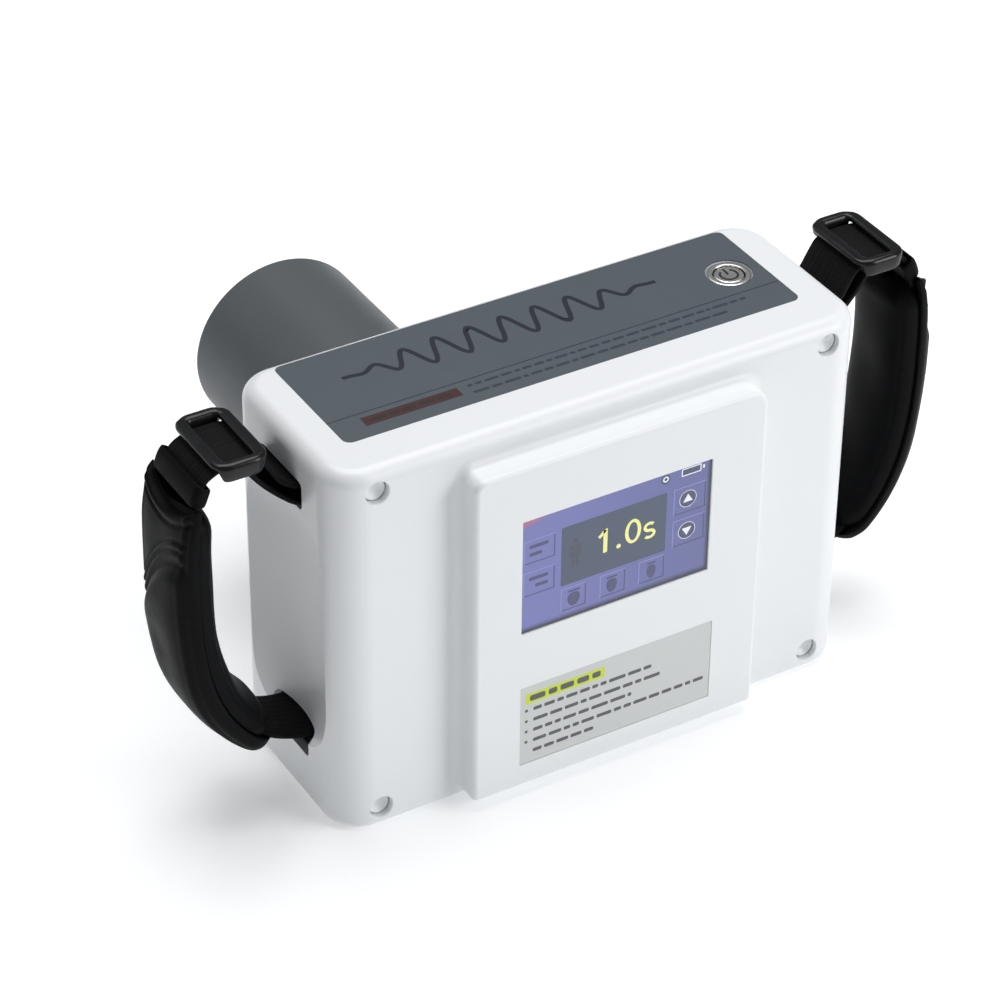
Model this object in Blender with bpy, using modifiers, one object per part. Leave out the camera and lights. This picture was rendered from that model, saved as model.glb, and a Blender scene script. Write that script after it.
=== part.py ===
"""Hand-held intraoral x-ray unit: a white casing with a screen, a grey cone and two hand straps.

Frame: +Z up, +Y from the operator towards the patient, +X to the operator's right. The origin is
the middle of the casing's flat base. Lengths are written in millimetres and scaled by MM.
"""
import math

import bmesh
import bpy
import numpy as np
from mathutils import Matrix, Vector

MM = 0.001

# Casing
CASE_W = 165.0
CASE_D = 59.6
CASE_H = 117.7
CASE_CORNER = 11.0
CASE_TOP_ROUND = 4.5
CASE_BASE_ROUND = 3.0
WALL = 2.5
GAP = 0.3
CASE_FRONT = -CASE_D / 2
CASE_BACK = CASE_D / 2
PARTING_Y = 27.0

# Raised display plate on the operator's side
PLATE_HALF_W = 45.7
PLATE_Z = (3.2, 109.8)
PLATE_Y = -37.8
PLATE_FLARE = 3.0
PLATE_ROUND = 1.5
WINDOW_X = (-31.1, 28.1)
WINDOW_Z = (56.0, 92.9)
INFO_X = (-31.2, 30.6)
INFO_Z = (10.8, 37.6)

# Top face
TOP_LABEL_X = 70.9
TOP_LABEL_Y = (-14.7, 26.6)
LABEL_DEPTH = 0.6
LABEL_THICK = 0.3
BUTTON_XY = (61.2, 6.6)
BUTTON_R = 4.3
BUTTON_TRAVEL = 1.0
BEZEL_R = 6.4
BEZEL_BODY_R = 5.6

# Finger scoops in the side walls: a barrel with its axis upright, cut into each side
SCOOP_HALF_W = 22.0
SCOOP_DEPTH = 6.5
SCOOP_STRAIGHT = 20.0
SCOOP_HALF_H = 39.0
SCOOP_Z = CASE_H / 2

# Long screws through the casing's corners
SCREW_X = 70.0
SCREW_Z = (6.5, 111.2)
SCREW_HEAD_R = 2.9
SCREW_SHANK_R = 1.5
SCREW_LENGTH = 46.0
COUNTERBORE_R = 3.4
COUNTERBORE_DEPTH = 10.0
PLUG_SINK = 1.0
PLUG_LENGTH = 3.0
COLUMN_R = 4.2
COLUMN_END = -6.0
POST_R = 3.2
POST_START = 18.0
MOUTH_X = 75.2
MOUTH_Z = (3.0, 114.7)

# Cone on the patient's side
CONE_X = -30.0
CONE_Z = 70.5
CONE_R = 26.8
CONE_WALL = 2.6
CONE_END_Y = 103.6
CONE_FLANGE_R = 31.0
CONE_FLANGE_Y = (24.0, 27.0)

# Charging socket, low on the patient's side
CHARGE_X = 50.0
CHARGE_Z = 16.0
CHARGE_R = 5.4

# X-ray tank behind the cone
TANK_X = (-65.0, 3.0)
TANK_Y = (-17.5, 19.0)
TANK_Z = (34.0, 106.0)
TANK_WALL = 3.0
TUBE_R = 10.0
TUBE_LENGTH = 46.0
TUBE_Y = 2.0

# Electronics
BOARD_Y = -24.6
BOARD_THICK = 1.6
DISPLAY_X = (-36.0, 33.0)
DISPLAY_Z = (49.0, 99.0)
BATTERY_X = 36.0
BATTERY_Y = 8.0
BATTERY_Z = (9.0, 74.0)
CELL_R = 9.2
CELL_PITCH = 18.5

# Hand straps, described on the +X side
WEB_WIDTH = 20.0
WEB_THICK = 1.4
PAD_WIDTH = 28.0
PAD_OUTER_THICK = 3.2
PAD_INNER_THICK = 3.6
PIN_R = 1.5
PIN_LOOP_R = PIN_R + GAP + WEB_THICK / 2
UPPER_PIN = (76.0, 103.0)
LOWER_PIN = (72.5, 20.0)
SLOT_HALF_W = 11.4
UPPER_SLOT_Z = (98.6, 107.2)
LOWER_SLOT_Z = (16.0, 24.0)
KEEPER_AT = (110.75, 112.6)
KEEPER_LEAN = -25.0
SLIDER_X = 99.5
SLIDER_Z = 118.3
SLIDER_LENGTH = 15.0
SLIDER_WIDTH = 27.0


# ---------------------------------------------------------------- scene and materials

def clear_scene():
    for obj in list(bpy.data.objects):
        bpy.data.objects.remove(obj, do_unlink=True)
    for collection in list(bpy.data.collections):
        bpy.data.collections.remove(collection)


def new_collection(name):
    collection = bpy.data.collections.new(name)
    bpy.context.scene.collection.children.link(collection)
    return collection


def material(name, color, roughness, metallic=0.0):
    mat = bpy.data.materials.get(name)
    if mat is None:
        mat = bpy.data.materials.new(name)
        mat.use_nodes = True
        shader = mat.node_tree.nodes["Principled BSDF"]
        shader.inputs["Base Color"].default_value = (*color, 1.0)
        shader.inputs["Roughness"].default_value = roughness
        shader.inputs["Metallic"].default_value = metallic
        mat.diffuse_color = (*color, 1.0)
    return mat


WHITE = ("white_abs", (0.86, 0.87, 0.88), 0.35)
GREY_CONE = ("grey_abs", (0.12, 0.13, 0.14), 0.5)
BLACK_PLASTIC = ("black_acetal", (0.012, 0.012, 0.013), 0.3)
BLACK_WEB = ("black_nylon", (0.01, 0.01, 0.011), 0.7)
BLACK_PAD = ("black_leatherette", (0.015, 0.015, 0.016), 0.45)
STEEL = ("steel", (0.55, 0.55, 0.56), 0.3, 1.0)
CHROME = ("chrome", (0.8, 0.8, 0.8), 0.12, 1.0)
LEAD = ("lead", (0.2, 0.2, 0.22), 0.6, 1.0)
ALUMINIUM = ("aluminium", (0.7, 0.7, 0.72), 0.35, 1.0)
COPPER = ("copper", (0.72, 0.35, 0.2), 0.3, 1.0)
GLASS = ("tube_glass", (0.75, 0.85, 0.85), 0.05)
LENS = ("screen_glass", (0.2, 0.2, 0.45), 0.08)
LABEL_BLUE = ("label_blue_grey", (0.10, 0.13, 0.16), 0.4)
LABEL_GREY = ("label_grey", (0.55, 0.56, 0.55), 0.4)
GASKET = ("gasket_rubber", (0.05, 0.05, 0.05), 0.8)
BOARD_GREEN = ("circuit_board", (0.02, 0.16, 0.06), 0.5)
BATTERY_BLUE = ("battery_wrap", (0.03, 0.12, 0.4), 0.4)
FERRITE = ("ferrite", (0.06, 0.06, 0.065), 0.6)
WINDING = ("winding", (0.45, 0.2, 0.08), 0.4)


# ---------------------------------------------------------------- shape helpers

def add_object(name, mesh, finish=None):
    """Link a mesh to the scene; pieces take a finish, cutters take none and stay out of renders."""
    obj = bpy.data.objects.new(name, mesh)
    (parts if finish else cutters).objects.link(obj)
    if finish:
        mesh.materials.clear()
        mesh.materials.append(material(*finish))
    else:
        obj.hide_render = True
        obj.display_type = "WIRE"
    return obj


def mesh_from(bm, name):
    """Write a bmesh given in millimetres to a mesh in metres."""
    bmesh.ops.scale(bm, vec=(MM, MM, MM), verts=bm.verts)
    bmesh.ops.recalc_face_normals(bm, faces=bm.faces)
    mesh = bpy.data.meshes.new(name)
    bm.to_mesh(mesh)
    bm.free()
    return mesh


def box_bmesh(low, high):
    bm = bmesh.new()
    size = [b - a for a, b in zip(low, high)]
    middle = [(a + b) / 2 for a, b in zip(low, high)]
    bmesh.ops.create_cube(bm, size=1.0, matrix=Matrix.Translation(middle) @ Matrix.Diagonal((*size, 1.0)))
    return bm


def edges_where(bm, test):
    return [edge for edge in bm.edges if all(test(vert.co) for vert in edge.verts)]


def round_edges(bm, edges, radius, segments):
    bmesh.ops.bevel(bm, geom=edges, offset=radius, segments=segments, profile=0.5, affect="EDGES",
                    clamp_overlap=True)


def box(name, low, high, finish=None, axis=2, side=0.0, cap_low=0.0, cap_high=0.0, segments=4):
    """A box between two corners; `side` rounds its edges along `axis`, the caps round its end loops."""
    bm = box_bmesh(low, high)
    if side:
        along = [e for e in bm.edges if abs((e.verts[0].co - e.verts[1].co).normalized()[axis]) > 0.99]
        round_edges(bm, along, side, segments)
    for level, radius in ((low[axis], cap_low), (high[axis], cap_high)):
        if radius:
            rim = edges_where(bm, lambda co: abs(co[axis] - level) < 1e-4)
            round_edges(bm, rim, radius, max(2, segments - 2))
    return add_object(name, mesh_from(bm, name), finish)


def axis_matrix(centre, axis):
    """Placement that takes local +Z to `axis` (0, 1 or 2)."""
    turn = (Matrix.Rotation(math.pi / 2, 4, "Y"), Matrix.Rotation(-math.pi / 2, 4, "X"), Matrix.Identity(4))[axis]
    return Matrix.Translation(centre) @ turn


def cylinder(name, centre, axis, radius, length, finish=None, sides=20):
    """A cylinder whose centre is the middle of its length."""
    bm = bmesh.new()
    bmesh.ops.create_cone(bm, cap_ends=True, segments=sides, radius1=radius, radius2=radius, depth=length,
                          matrix=axis_matrix(centre, axis))
    return add_object(name, mesh_from(bm, name), finish)


def turned(name, centre, axis, profile, finish=None, steps=32):
    """Turn a profile of (radius, height) points round `axis` with a Screw modifier.

    The profile runs down its outer side. It is a closed loop, unless it starts and ends on the axis.
    """
    mesh = bpy.data.meshes.new(name)
    closed = profile[0][0] > 0.0
    count = len(profile)
    edges = [(i, (i + 1) % count) for i in range(count if closed else count - 1)]
    mesh.from_pydata([(r * MM, 0.0, h * MM) for r, h in profile], edges, [])
    obj = add_object(name, mesh, finish)
    screw = obj.modifiers.new("turn", "SCREW")
    screw.axis = "Z"
    screw.angle = 2 * math.pi
    screw.steps = steps
    screw.render_steps = steps
    screw.use_merge_vertices = True
    screw.merge_threshold = 1e-5
    obj.matrix_world = axis_matrix(Vector(centre) * MM, axis)
    return obj


def loft(name, loops, finish=None):
    """Join equal closed loops of points one after another and close both ends."""
    bm = bmesh.new()
    rings = [[bm.verts.new(point) for point in loop] for loop in loops]
    count = len(rings[0])
    for first, second in zip(rings, rings[1:]):
        for i in range(count):
            j = (i + 1) % count
            bm.faces.new((first[i], first[j], second[j], second[i]))
    bm.faces.new(rings[0][::-1])
    bm.faces.new(rings[-1])
    return add_object(name, mesh_from(bm, name), finish)


def cut(target, *tools, operation="DIFFERENCE"):
    for tool in tools:
        boolean = target.modifiers.new(tool.name, "BOOLEAN")
        boolean.operation = operation
        boolean.solver = "EXACT"
        boolean.object = tool
    return target


def mirrored(obj, name, finish=None):
    """A copy of an object's finished mesh on the other side of the plane x = 0."""
    graph = bpy.context.evaluated_depsgraph_get()
    graph.update()
    mesh = bpy.data.meshes.new_from_object(obj.evaluated_get(graph))
    mesh.transform(Matrix.Diagonal((-1.0, 1.0, 1.0, 1.0)) @ obj.matrix_world)
    mesh.flip_normals()
    mesh.name = name
    return add_object(name, mesh, finish)


def curve_through(points, per_span=5):
    """Sample a smooth (Catmull-Rom) curve through (x, z) points."""
    pts = [Vector(p) for p in points]
    pts = [2 * pts[0] - pts[1], *pts, 2 * pts[-1] - pts[-2]]
    out = []
    for a, b, c, d in zip(pts, pts[1:], pts[2:], pts[3:]):
        for k in range(per_span):
            t = k / per_span
            out.append(0.5 * (2 * b + (c - a) * t + (2 * a - 5 * b + 4 * c - d) * t * t
                              + (3 * b - a - 3 * c + d) * t ** 3))
    out.append(pts[-2])
    return out


def arc(centre, radius, start, stop, count):
    """Points (x, z) along an arc, angles in degrees."""
    return [Vector((centre[0] + radius * math.cos(math.radians(a)), centre[1] + radius * math.sin(math.radians(a))))
            for a in np.linspace(start, stop, count)]


def ribbon(name, path, thickness, width, finish, offset=0.0, round_ends=0.0):
    """A flat band of `thickness` and `width` (along Y) that follows a path of (x, z) points.

    `offset` moves its middle to the path's left. `round_ends` narrows the last stretch to a round tip.
    """
    loops = []
    length = [0.0]
    for a, b in zip(path, path[1:]):
        length.append(length[-1] + (b - a).length)
    for i, point in enumerate(path):
        ahead = path[min(i + 1, len(path) - 1)]
        behind = path[max(i - 1, 0)]
        along = (ahead - behind).normalized()
        left = Vector((-along.y, along.x))
        middle = point + left * offset
        half = width / 2
        if round_ends:
            reach = min(length[i], length[-1] - length[i]) / round_ends
            if reach < 1.0:
                half = half - round_ends + round_ends * math.sqrt(max(0.0, 1.0 - (1.0 - reach) ** 2))
        a = middle + left * (thickness / 2)
        b = middle - left * (thickness / 2)
        loops.append([(a.x, -half, a.y), (a.x, half, a.y), (b.x, half, b.y), (b.x, -half, b.y)])
    return loft(name, loops, finish)


# ---------------------------------------------------------------- casing

def hull(name, finish=None):
    """The casing's whole outer form: upright corners first, then the top and base loops."""
    bm = box_bmesh((-CASE_W / 2, CASE_FRONT, 0.0), (CASE_W / 2, CASE_BACK, CASE_H))
    upright = [e for e in bm.edges if abs(e.verts[0].co.z - e.verts[1].co.z) > 1.0]
    round_edges(bm, upright, CASE_CORNER, 6)
    round_edges(bm, edges_where(bm, lambda co: co.z > CASE_H - 1e-4), CASE_TOP_ROUND, 3)
    round_edges(bm, edges_where(bm, lambda co: co.z < 1e-4), CASE_BASE_ROUND, 2)
    return add_object(name, mesh_from(bm, name), finish)


def plate_outline(y, grow):
    """Raised plate's outline at depth y; `grow` widens its sides and top but not its base."""
    half = PLATE_HALF_W + grow
    low = PLATE_Z[0] - min(grow, 0.0)
    high = PLATE_Z[1] + grow
    top_r = 5.0 + grow
    points = []
    for cx, cz, radius, start in ((half - top_r, high - top_r, top_r, 0), (-half + top_r, high - top_r, top_r, 90),
                                  (-half + 1.5, low + 1.5, 1.5, 180), (half - 1.5, low + 1.5, 1.5, 270)):
        for angle in np.linspace(start, start + 90, 5):
            a = math.radians(angle)
            points.append((cx + radius * math.cos(a), y, cz + radius * math.sin(a)))
    return points


def raised_plate(name):
    """Plate with a soft hollow fillet at its foot and a small round on its face edge."""
    loops = [plate_outline(CASE_FRONT + 1.0, PLATE_FLARE)]
    for t in np.radians((0, 30, 60, 90)):
        loops.append(plate_outline(CASE_FRONT - PLATE_FLARE * (1 - math.cos(t)), PLATE_FLARE * (1 - math.sin(t))))
    for t in np.radians((0, 30, 60, 90)):
        loops.append(plate_outline(PLATE_Y + PLATE_ROUND * (1 - math.sin(t)), -PLATE_ROUND * (1 - math.cos(t))))
    return loft(name, loops)


def scoop_profile(extra):
    """Barrel profile (radius, height): straight in the middle, elliptical shoulders to both ends."""
    full = (SCOOP_HALF_W ** 2 + SCOOP_DEPTH ** 2) / (2 * SCOOP_DEPTH)
    rest = full - SCOOP_DEPTH
    shoulder = SCOOP_HALF_H - SCOOP_STRAIGHT + extra
    upper = []
    for a in np.radians(np.linspace(0.0, 90.0, 6)):
        upper.append((rest + (SCOOP_DEPTH + extra) * math.cos(a), SCOOP_STRAIGHT + shoulder * math.sin(a)))
    outer = upper[::-1] + [(r, -h) for r, h in upper]
    return [(0.0, outer[0][1])] + outer + [(0.0, outer[-1][1])]


def scoop(name, side, extra=0.0):
    full = (SCOOP_HALF_W ** 2 + SCOOP_DEPTH ** 2) / (2 * SCOOP_DEPTH)
    x = side * (CASE_W / 2 - SCOOP_DEPTH + full)
    return turned(name, (x, 0.0, SCOOP_Z), 2, scoop_profile(extra), steps=24 if extra else 48)


def each_corner():
    """The four screw places: side, height and a tag for names."""
    for side, tag in ((-1, "left"), (1, "right")):
        for z, level in zip(SCREW_Z, ("low", "high")):
            yield side * SCREW_X, z, f"{tag}_{level}"


def case_cavity():
    """Inside of the deep casing with its mouth, less the scoops' backs and the four screw columns."""
    inner = box("cavity", (-CASE_W / 2 + WALL, CASE_FRONT + WALL, WALL),
                (CASE_W / 2 - WALL, CASE_BACK - WALL, CASE_H - WALL),
                axis=2, side=CASE_CORNER - WALL, cap_low=1.5, cap_high=2.0, segments=4)
    plate_room = box("plate_room", (-PLATE_HALF_W + WALL, PLATE_Y + WALL, PLATE_Z[0] + WALL),
                     (PLATE_HALF_W - WALL, CASE_FRONT + WALL + 1.0, PLATE_Z[1] - WALL), axis=1, side=2.5, segments=3)
    mouth = box("mouth", (-MOUTH_X, 15.0, MOUTH_Z[0]), (MOUTH_X, 40.0, MOUTH_Z[1]), axis=1, side=5.0, segments=4)
    cut(inner, plate_room, mouth, operation="UNION")
    for side, tag in ((-1, "left"), (1, "right")):
        cut(inner, scoop(f"scoop_back_{tag}", side, WALL))
    for x, z, tag in each_corner():
        cut(inner, cylinder(f"column_{tag}", (x, (CASE_FRONT + COLUMN_END) / 2, z), 1, COLUMN_R,
                            COLUMN_END - CASE_FRONT, sides=12))
    return inner


def make_case():
    case = hull("rear_case", WHITE)
    cut(case, raised_plate("plate"), operation="UNION")
    cut(case, box("front_side", (-100.0, PARTING_Y, -10.0), (100.0, 60.0, 140.0)), case_cavity())
    for side, tag in ((-1, "left"), (1, "right")):
        cut(case, scoop(f"scoop_{tag}", side))
        low_x, high_x = sorted((side * 76.0, side * 92.0))
        for (z0, z1), level in ((UPPER_SLOT_Z, "upper"), (LOWER_SLOT_Z, "lower")):
            cut(case, box(f"slot_{tag}_{level}", (low_x, -SLOT_HALF_W, z0), (high_x, SLOT_HALF_W, z1),
                          axis=0, side=1.5, segments=2))
    for x, z, tag in each_corner():
        cut(case, cylinder(f"counterbore_{tag}", (x, CASE_FRONT, z), 1, COUNTERBORE_R, 2 * COUNTERBORE_DEPTH))
        cut(case, cylinder(f"screw_hole_{tag}", (x, 0.0, z), 1, SCREW_SHANK_R + GAP, 80.0, sides=8))
    cut(case, box("window", (WINDOW_X[0], PLATE_Y - 5.0, WINDOW_Z[0]), (WINDOW_X[1], CASE_FRONT, WINDOW_Z[1])))
    cut(case, box("info_recess", (INFO_X[0], PLATE_Y - 5.0, INFO_Z[0]),
                  (INFO_X[1], PLATE_Y + LABEL_DEPTH, INFO_Z[1])))
    cut(case, box("top_recess", (-TOP_LABEL_X, TOP_LABEL_Y[0], CASE_H - LABEL_DEPTH),
                  (TOP_LABEL_X, TOP_LABEL_Y[1], CASE_H + 5.0), axis=2, side=2.5, segments=3))
    cut(case, cylinder("button_hole", (*BUTTON_XY, CASE_H), 2, BEZEL_BODY_R + GAP, 20.0))
    cut(case, cylinder("button_seat", (*BUTTON_XY, CASE_H), 2, BEZEL_R + GAP, 2 * 1.8, sides=24))
    return case


def make_cover():
    cover = hull("front_cover", WHITE)
    cut(cover, box("rear_side", (-100.0, -60.0, -10.0), (100.0, PARTING_Y + GAP, 140.0)))
    edge = 0.4
    lip = box("cover_lip", (-MOUTH_X + edge, 24.6, MOUTH_Z[0] + edge), (MOUTH_X - edge, 28.5, MOUTH_Z[1] - edge),
              axis=1, side=4.6, segments=4)
    edge = 2.0
    cut(lip, box("lip_room", (-MOUTH_X + edge, 20.0, MOUTH_Z[0] + edge),
                 (MOUTH_X - edge, PARTING_Y + GAP, MOUTH_Z[1] - edge), axis=1, side=3.0, segments=3))
    cut(cover, lip, operation="UNION")
    for x, z, tag in each_corner():
        post = cylinder(f"cover_post_{tag}", (x, (POST_START + 28.5) / 2, z), 1, POST_R, 28.5 - POST_START, sides=12)
        cut(cover, post, operation="UNION")
        cut(cover, cylinder(f"thread_hole_{tag}", (x, 18.0, z), 1, SCREW_SHANK_R + GAP, 20.0, sides=8))
    cut(cover, cylinder("cone_hole", (CONE_X, 28.0, CONE_Z), 1, CONE_R + GAP, 20.0, sides=40))
    cut(cover, cylinder("charge_hole", (CHARGE_X, 28.0, CHARGE_Z), 1, CHARGE_R + 0.4, 20.0))
    return cover


def make_gasket():
    """Flat rubber ring in front of the cover's lip, with an eye round each post."""
    low, high = 22.9, 24.2
    edge = 0.6
    ring = box("case_gasket", (-MOUTH_X + edge, low, MOUTH_Z[0] + edge), (MOUTH_X - edge, high, MOUTH_Z[1] - edge),
               GASKET, axis=1, side=4.4, segments=4)
    edge = 2.2
    cut(ring, box("gasket_room", (-MOUTH_X + edge, 20.0, MOUTH_Z[0] + edge), (MOUTH_X - edge, 30.0, MOUTH_Z[1] - edge),
                  axis=1, side=2.8, segments=3))
    for x, z, tag in each_corner():
        eye = cylinder(f"gasket_eye_{tag}", (x, (low + high) / 2, z), 1, POST_R + 2.0, high - low, sides=12)
        edge = 0.6
        cut(eye, box(f"eye_trim_{tag}", (-MOUTH_X + edge, 20.0, MOUTH_Z[0] + edge),
                     (MOUTH_X - edge, 30.0, MOUTH_Z[1] - edge)), operation="INTERSECT")
        cut(ring, eye, operation="UNION")
        cut(ring, cylinder(f"gasket_hole_{tag}", (x, 23.5, z), 1, POST_R + GAP, 8.0, sides=12))
    return ring


def make_screw(name, x, z):
    """Pan-head screw with a cross recess, its head seated in the counterbore."""
    seat = CASE_FRONT + COUNTERBORE_DEPTH - GAP
    head = 2.0
    profile = [(0.0, head), (SCREW_HEAD_R - 0.8, head), (SCREW_HEAD_R, head - 0.8), (SCREW_HEAD_R, 0.0),
               (SCREW_SHANK_R, 0.0), (SCREW_SHANK_R, -SCREW_LENGTH + 1.0), (0.6, -SCREW_LENGTH), (0.0, -SCREW_LENGTH)]
    screw = turned(name, (x, seat, z), 1, profile, STEEL, steps=12)
    screw.matrix_world = Matrix.Translation(Vector((x, seat, z)) * MM) @ Matrix.Rotation(math.pi / 2, 4, "X")
    for turn, (dx, dz) in enumerate(((1.9, 0.35), (0.35, 1.9))):
        cut(screw, box(f"{name}_slot_{turn}", (x - dx, seat - head - 1.0, z - dz), (x + dx, seat - head + 1.1, z + dz)))
    return screw


def make_plug(name, x, z):
    """Plain plug that hides a screw, set a little below the casing's face."""
    middle = CASE_FRONT + PLUG_SINK + PLUG_LENGTH / 2
    return cylinder(name, (x, middle, z), 1, COUNTERBORE_R - GAP, PLUG_LENGTH, WHITE, sides=24)


# ---------------------------------------------------------------- screen and labels

def make_screen():
    lens = box("screen_lens", (WINDOW_X[0] + GAP, PLATE_Y + 0.4, WINDOW_Z[0] + GAP),
               (WINDOW_X[1] - GAP, PLATE_Y + 2.2, WINDOW_Z[1] - GAP), LENS, axis=1, side=0.5, segments=2)
    module = box("display_module", (DISPLAY_X[0], PLATE_Y + 2.8, DISPLAY_Z[0]),
                 (DISPLAY_X[1], PLATE_Y + 6.4, DISPLAY_Z[1]), BLACK_PLASTIC, axis=1, side=1.0, segments=2)
    frame = box("display_frame", (DISPLAY_X[0] - 3.5, PLATE_Y + 3.0, DISPLAY_Z[0] - 3.5),
                (DISPLAY_X[1] + 3.5, PLATE_Y + 9.0, DISPLAY_Z[1] + 3.5), ALUMINIUM, axis=1, side=2.0, segments=2)
    cut(frame, box("frame_room", (DISPLAY_X[0] - GAP, PLATE_Y, DISPLAY_Z[0] - GAP),
                   (DISPLAY_X[1] + GAP, PLATE_Y + 6.8, DISPLAY_Z[1] + GAP)))
    cut(frame, box("frame_window", (DISPLAY_X[0] + 5.0, PLATE_Y, DISPLAY_Z[0] + 5.0),
                   (DISPLAY_X[1] - 5.0, PLATE_Y + 15.0, DISPLAY_Z[1] - 5.0)))
    return lens, module, frame


def make_labels():
    floor = CASE_H - LABEL_DEPTH + GAP
    top = box("top_label", (-TOP_LABEL_X + GAP, TOP_LABEL_Y[0] + GAP, floor),
              (TOP_LABEL_X - GAP, TOP_LABEL_Y[1] - GAP, floor + LABEL_THICK), LABEL_BLUE, axis=2, side=2.2, segments=3)
    cut(top, cylinder("label_hole", (*BUTTON_XY, CASE_H), 2, BEZEL_R + GAP, 10.0, sides=24))
    box("info_label", (INFO_X[0] + GAP, PLATE_Y, INFO_Z[0] + GAP),
        (INFO_X[1] - GAP, PLATE_Y + LABEL_THICK, INFO_Z[1] - GAP), LABEL_GREY)


# ---------------------------------------------------------------- push button

def make_button():
    """Metal push button: threaded bezel body, sprung cap, nut under the wall and a micro switch."""
    top = CASE_H - 0.5
    x, y = BUTTON_XY
    under = CASE_H - WALL - GAP
    bore = BUTTON_R + GAP
    floor = top - 13.0
    profile = [(bore, top), (BEZEL_R - 0.4, top), (BEZEL_R, top - 0.4), (BEZEL_R, top - 1.0),
               (BEZEL_BODY_R, top - 1.0), (BEZEL_BODY_R, floor - 1.5), (1.6, floor - 1.5), (1.6, floor), (bore, floor)]
    turned("button_bezel", (x, y, 0.0), 2, profile, CHROME, steps=24)
    cap_top = top - 0.3
    cap = [(0.0, cap_top), (BUTTON_R - 0.3, cap_top), (BUTTON_R, cap_top - 0.3), (BUTTON_R, cap_top - 5.0),
           (3.4, cap_top - 5.0), (3.4, cap_top - 5.4), (1.3, cap_top - 5.4), (1.3, floor - 2.4), (0.0, floor - 2.4)]
    button = turned("button_cap", (x, y, 0.0), 2, cap, CHROME, steps=20)
    groove = [(3.0, cap_top + 1.0), (3.0, cap_top - 0.4), (2.2, cap_top - 0.4), (2.2, cap_top + 1.0)]
    cut(button, turned("cap_groove", (x, y, 0.0), 2, groove, steps=20))
    nut_in = BEZEL_BODY_R + GAP
    nut = [(nut_in, under), (nut_in + 1.2, under), (nut_in + 1.2, under - 2.5), (nut_in, under - 2.5)]
    turned("button_nut", (x, y, 0.0), 2, nut, STEEL, steps=14)
    spring_top = cap_top - 5.4 - 0.35 - BUTTON_TRAVEL
    spring_low = floor + 0.35
    turns = 4
    points = []
    for i in range(turns * 7 + 1):
        a = 2 * math.pi * i / 7
        z = spring_low + 0.3 + (spring_top - spring_low - 0.6) * i / (turns * 7)
        points.append(((x + 2.6 * math.cos(a)) * MM, (y + 2.6 * math.sin(a)) * MM, z * MM))
    curve = bpy.data.curves.new("button_spring", "CURVE")
    curve.dimensions = "3D"
    curve.bevel_depth = 0.3 * MM
    curve.bevel_resolution = 0
    curve.use_fill_caps = True
    spline = curve.splines.new("POLY")
    spline.points.add(len(points) - 1)
    for target, point in zip(spline.points, points):
        target.co = (*point, 1.0)
    spring = bpy.data.objects.new("button_spring", curve)
    parts.objects.link(spring)
    curve.materials.append(material(*STEEL))
    switch_top = floor - 2.4 - BUTTON_TRAVEL - 0.3
    switch = box("button_switch", (x - 6.0, y - 4.0, switch_top - 9.0), (x + 6.0, y + 4.0, switch_top - 1.2),
                 BLACK_PLASTIC, axis=2, side=0.8, segments=2)
    cut(switch, box("switch_pad", (x - 2.0, y - 1.5, switch_top - 2.0), (x + 2.0, y + 1.5, switch_top)),
        operation="UNION")


# ---------------------------------------------------------------- cone and x-ray head

def make_cone():
    """Grey tube that passes through the cover; its inner flange bears on the cover's back."""
    inner = CONE_R - CONE_WALL
    low, high = CONE_FLANGE_Y
    length = CONE_END_Y
    profile = [(inner, length - 0.8), (inner + 0.8, length), (CONE_R - 1.2, length), (CONE_R, length - 1.2),
               (CONE_R, high), (CONE_FLANGE_R, high), (CONE_FLANGE_R, low), (inner, low)]
    turned("cone_tube", (CONE_X, 0.0, CONE_Z), 1, profile, GREY_CONE, steps=40)
    liner = [(inner - GAP - 1.2, 62.0), (inner - GAP, 62.0), (inner - GAP, low + 0.8), (inner - GAP - 1.2, low + 0.8)]
    turned("cone_liner", (CONE_X, 0.0, CONE_Z), 1, liner, LEAD, steps=24)
    ring = [(CONE_R + 0.4, 31.6), (CONE_R + 2.4, 31.6), (CONE_R + 3.2, 30.8), (CONE_R + 3.2, CASE_BACK + GAP),
            (CONE_R + 0.4, CASE_BACK + GAP)]
    turned("cone_ring", (CONE_X, 0.0, CONE_Z), 1, ring, GREY_CONE, steps=40)


def make_collimator():
    """Lead plate with a round aperture and the thin aluminium filter behind it."""
    y = TANK_Y[1] + GAP
    plate = [(6.0, y + 2.4), (23.4, y + 2.4), (23.4, y + 0.9), (6.0, y + 0.9)]
    turned("collimator_plate", (CONE_X, 0.0, CONE_Z), 1, plate, LEAD, steps=24)
    cylinder("filter_disc", (CONE_X, y + 0.3, CONE_Z), 1, 12.0, 0.6, ALUMINIUM)


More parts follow.
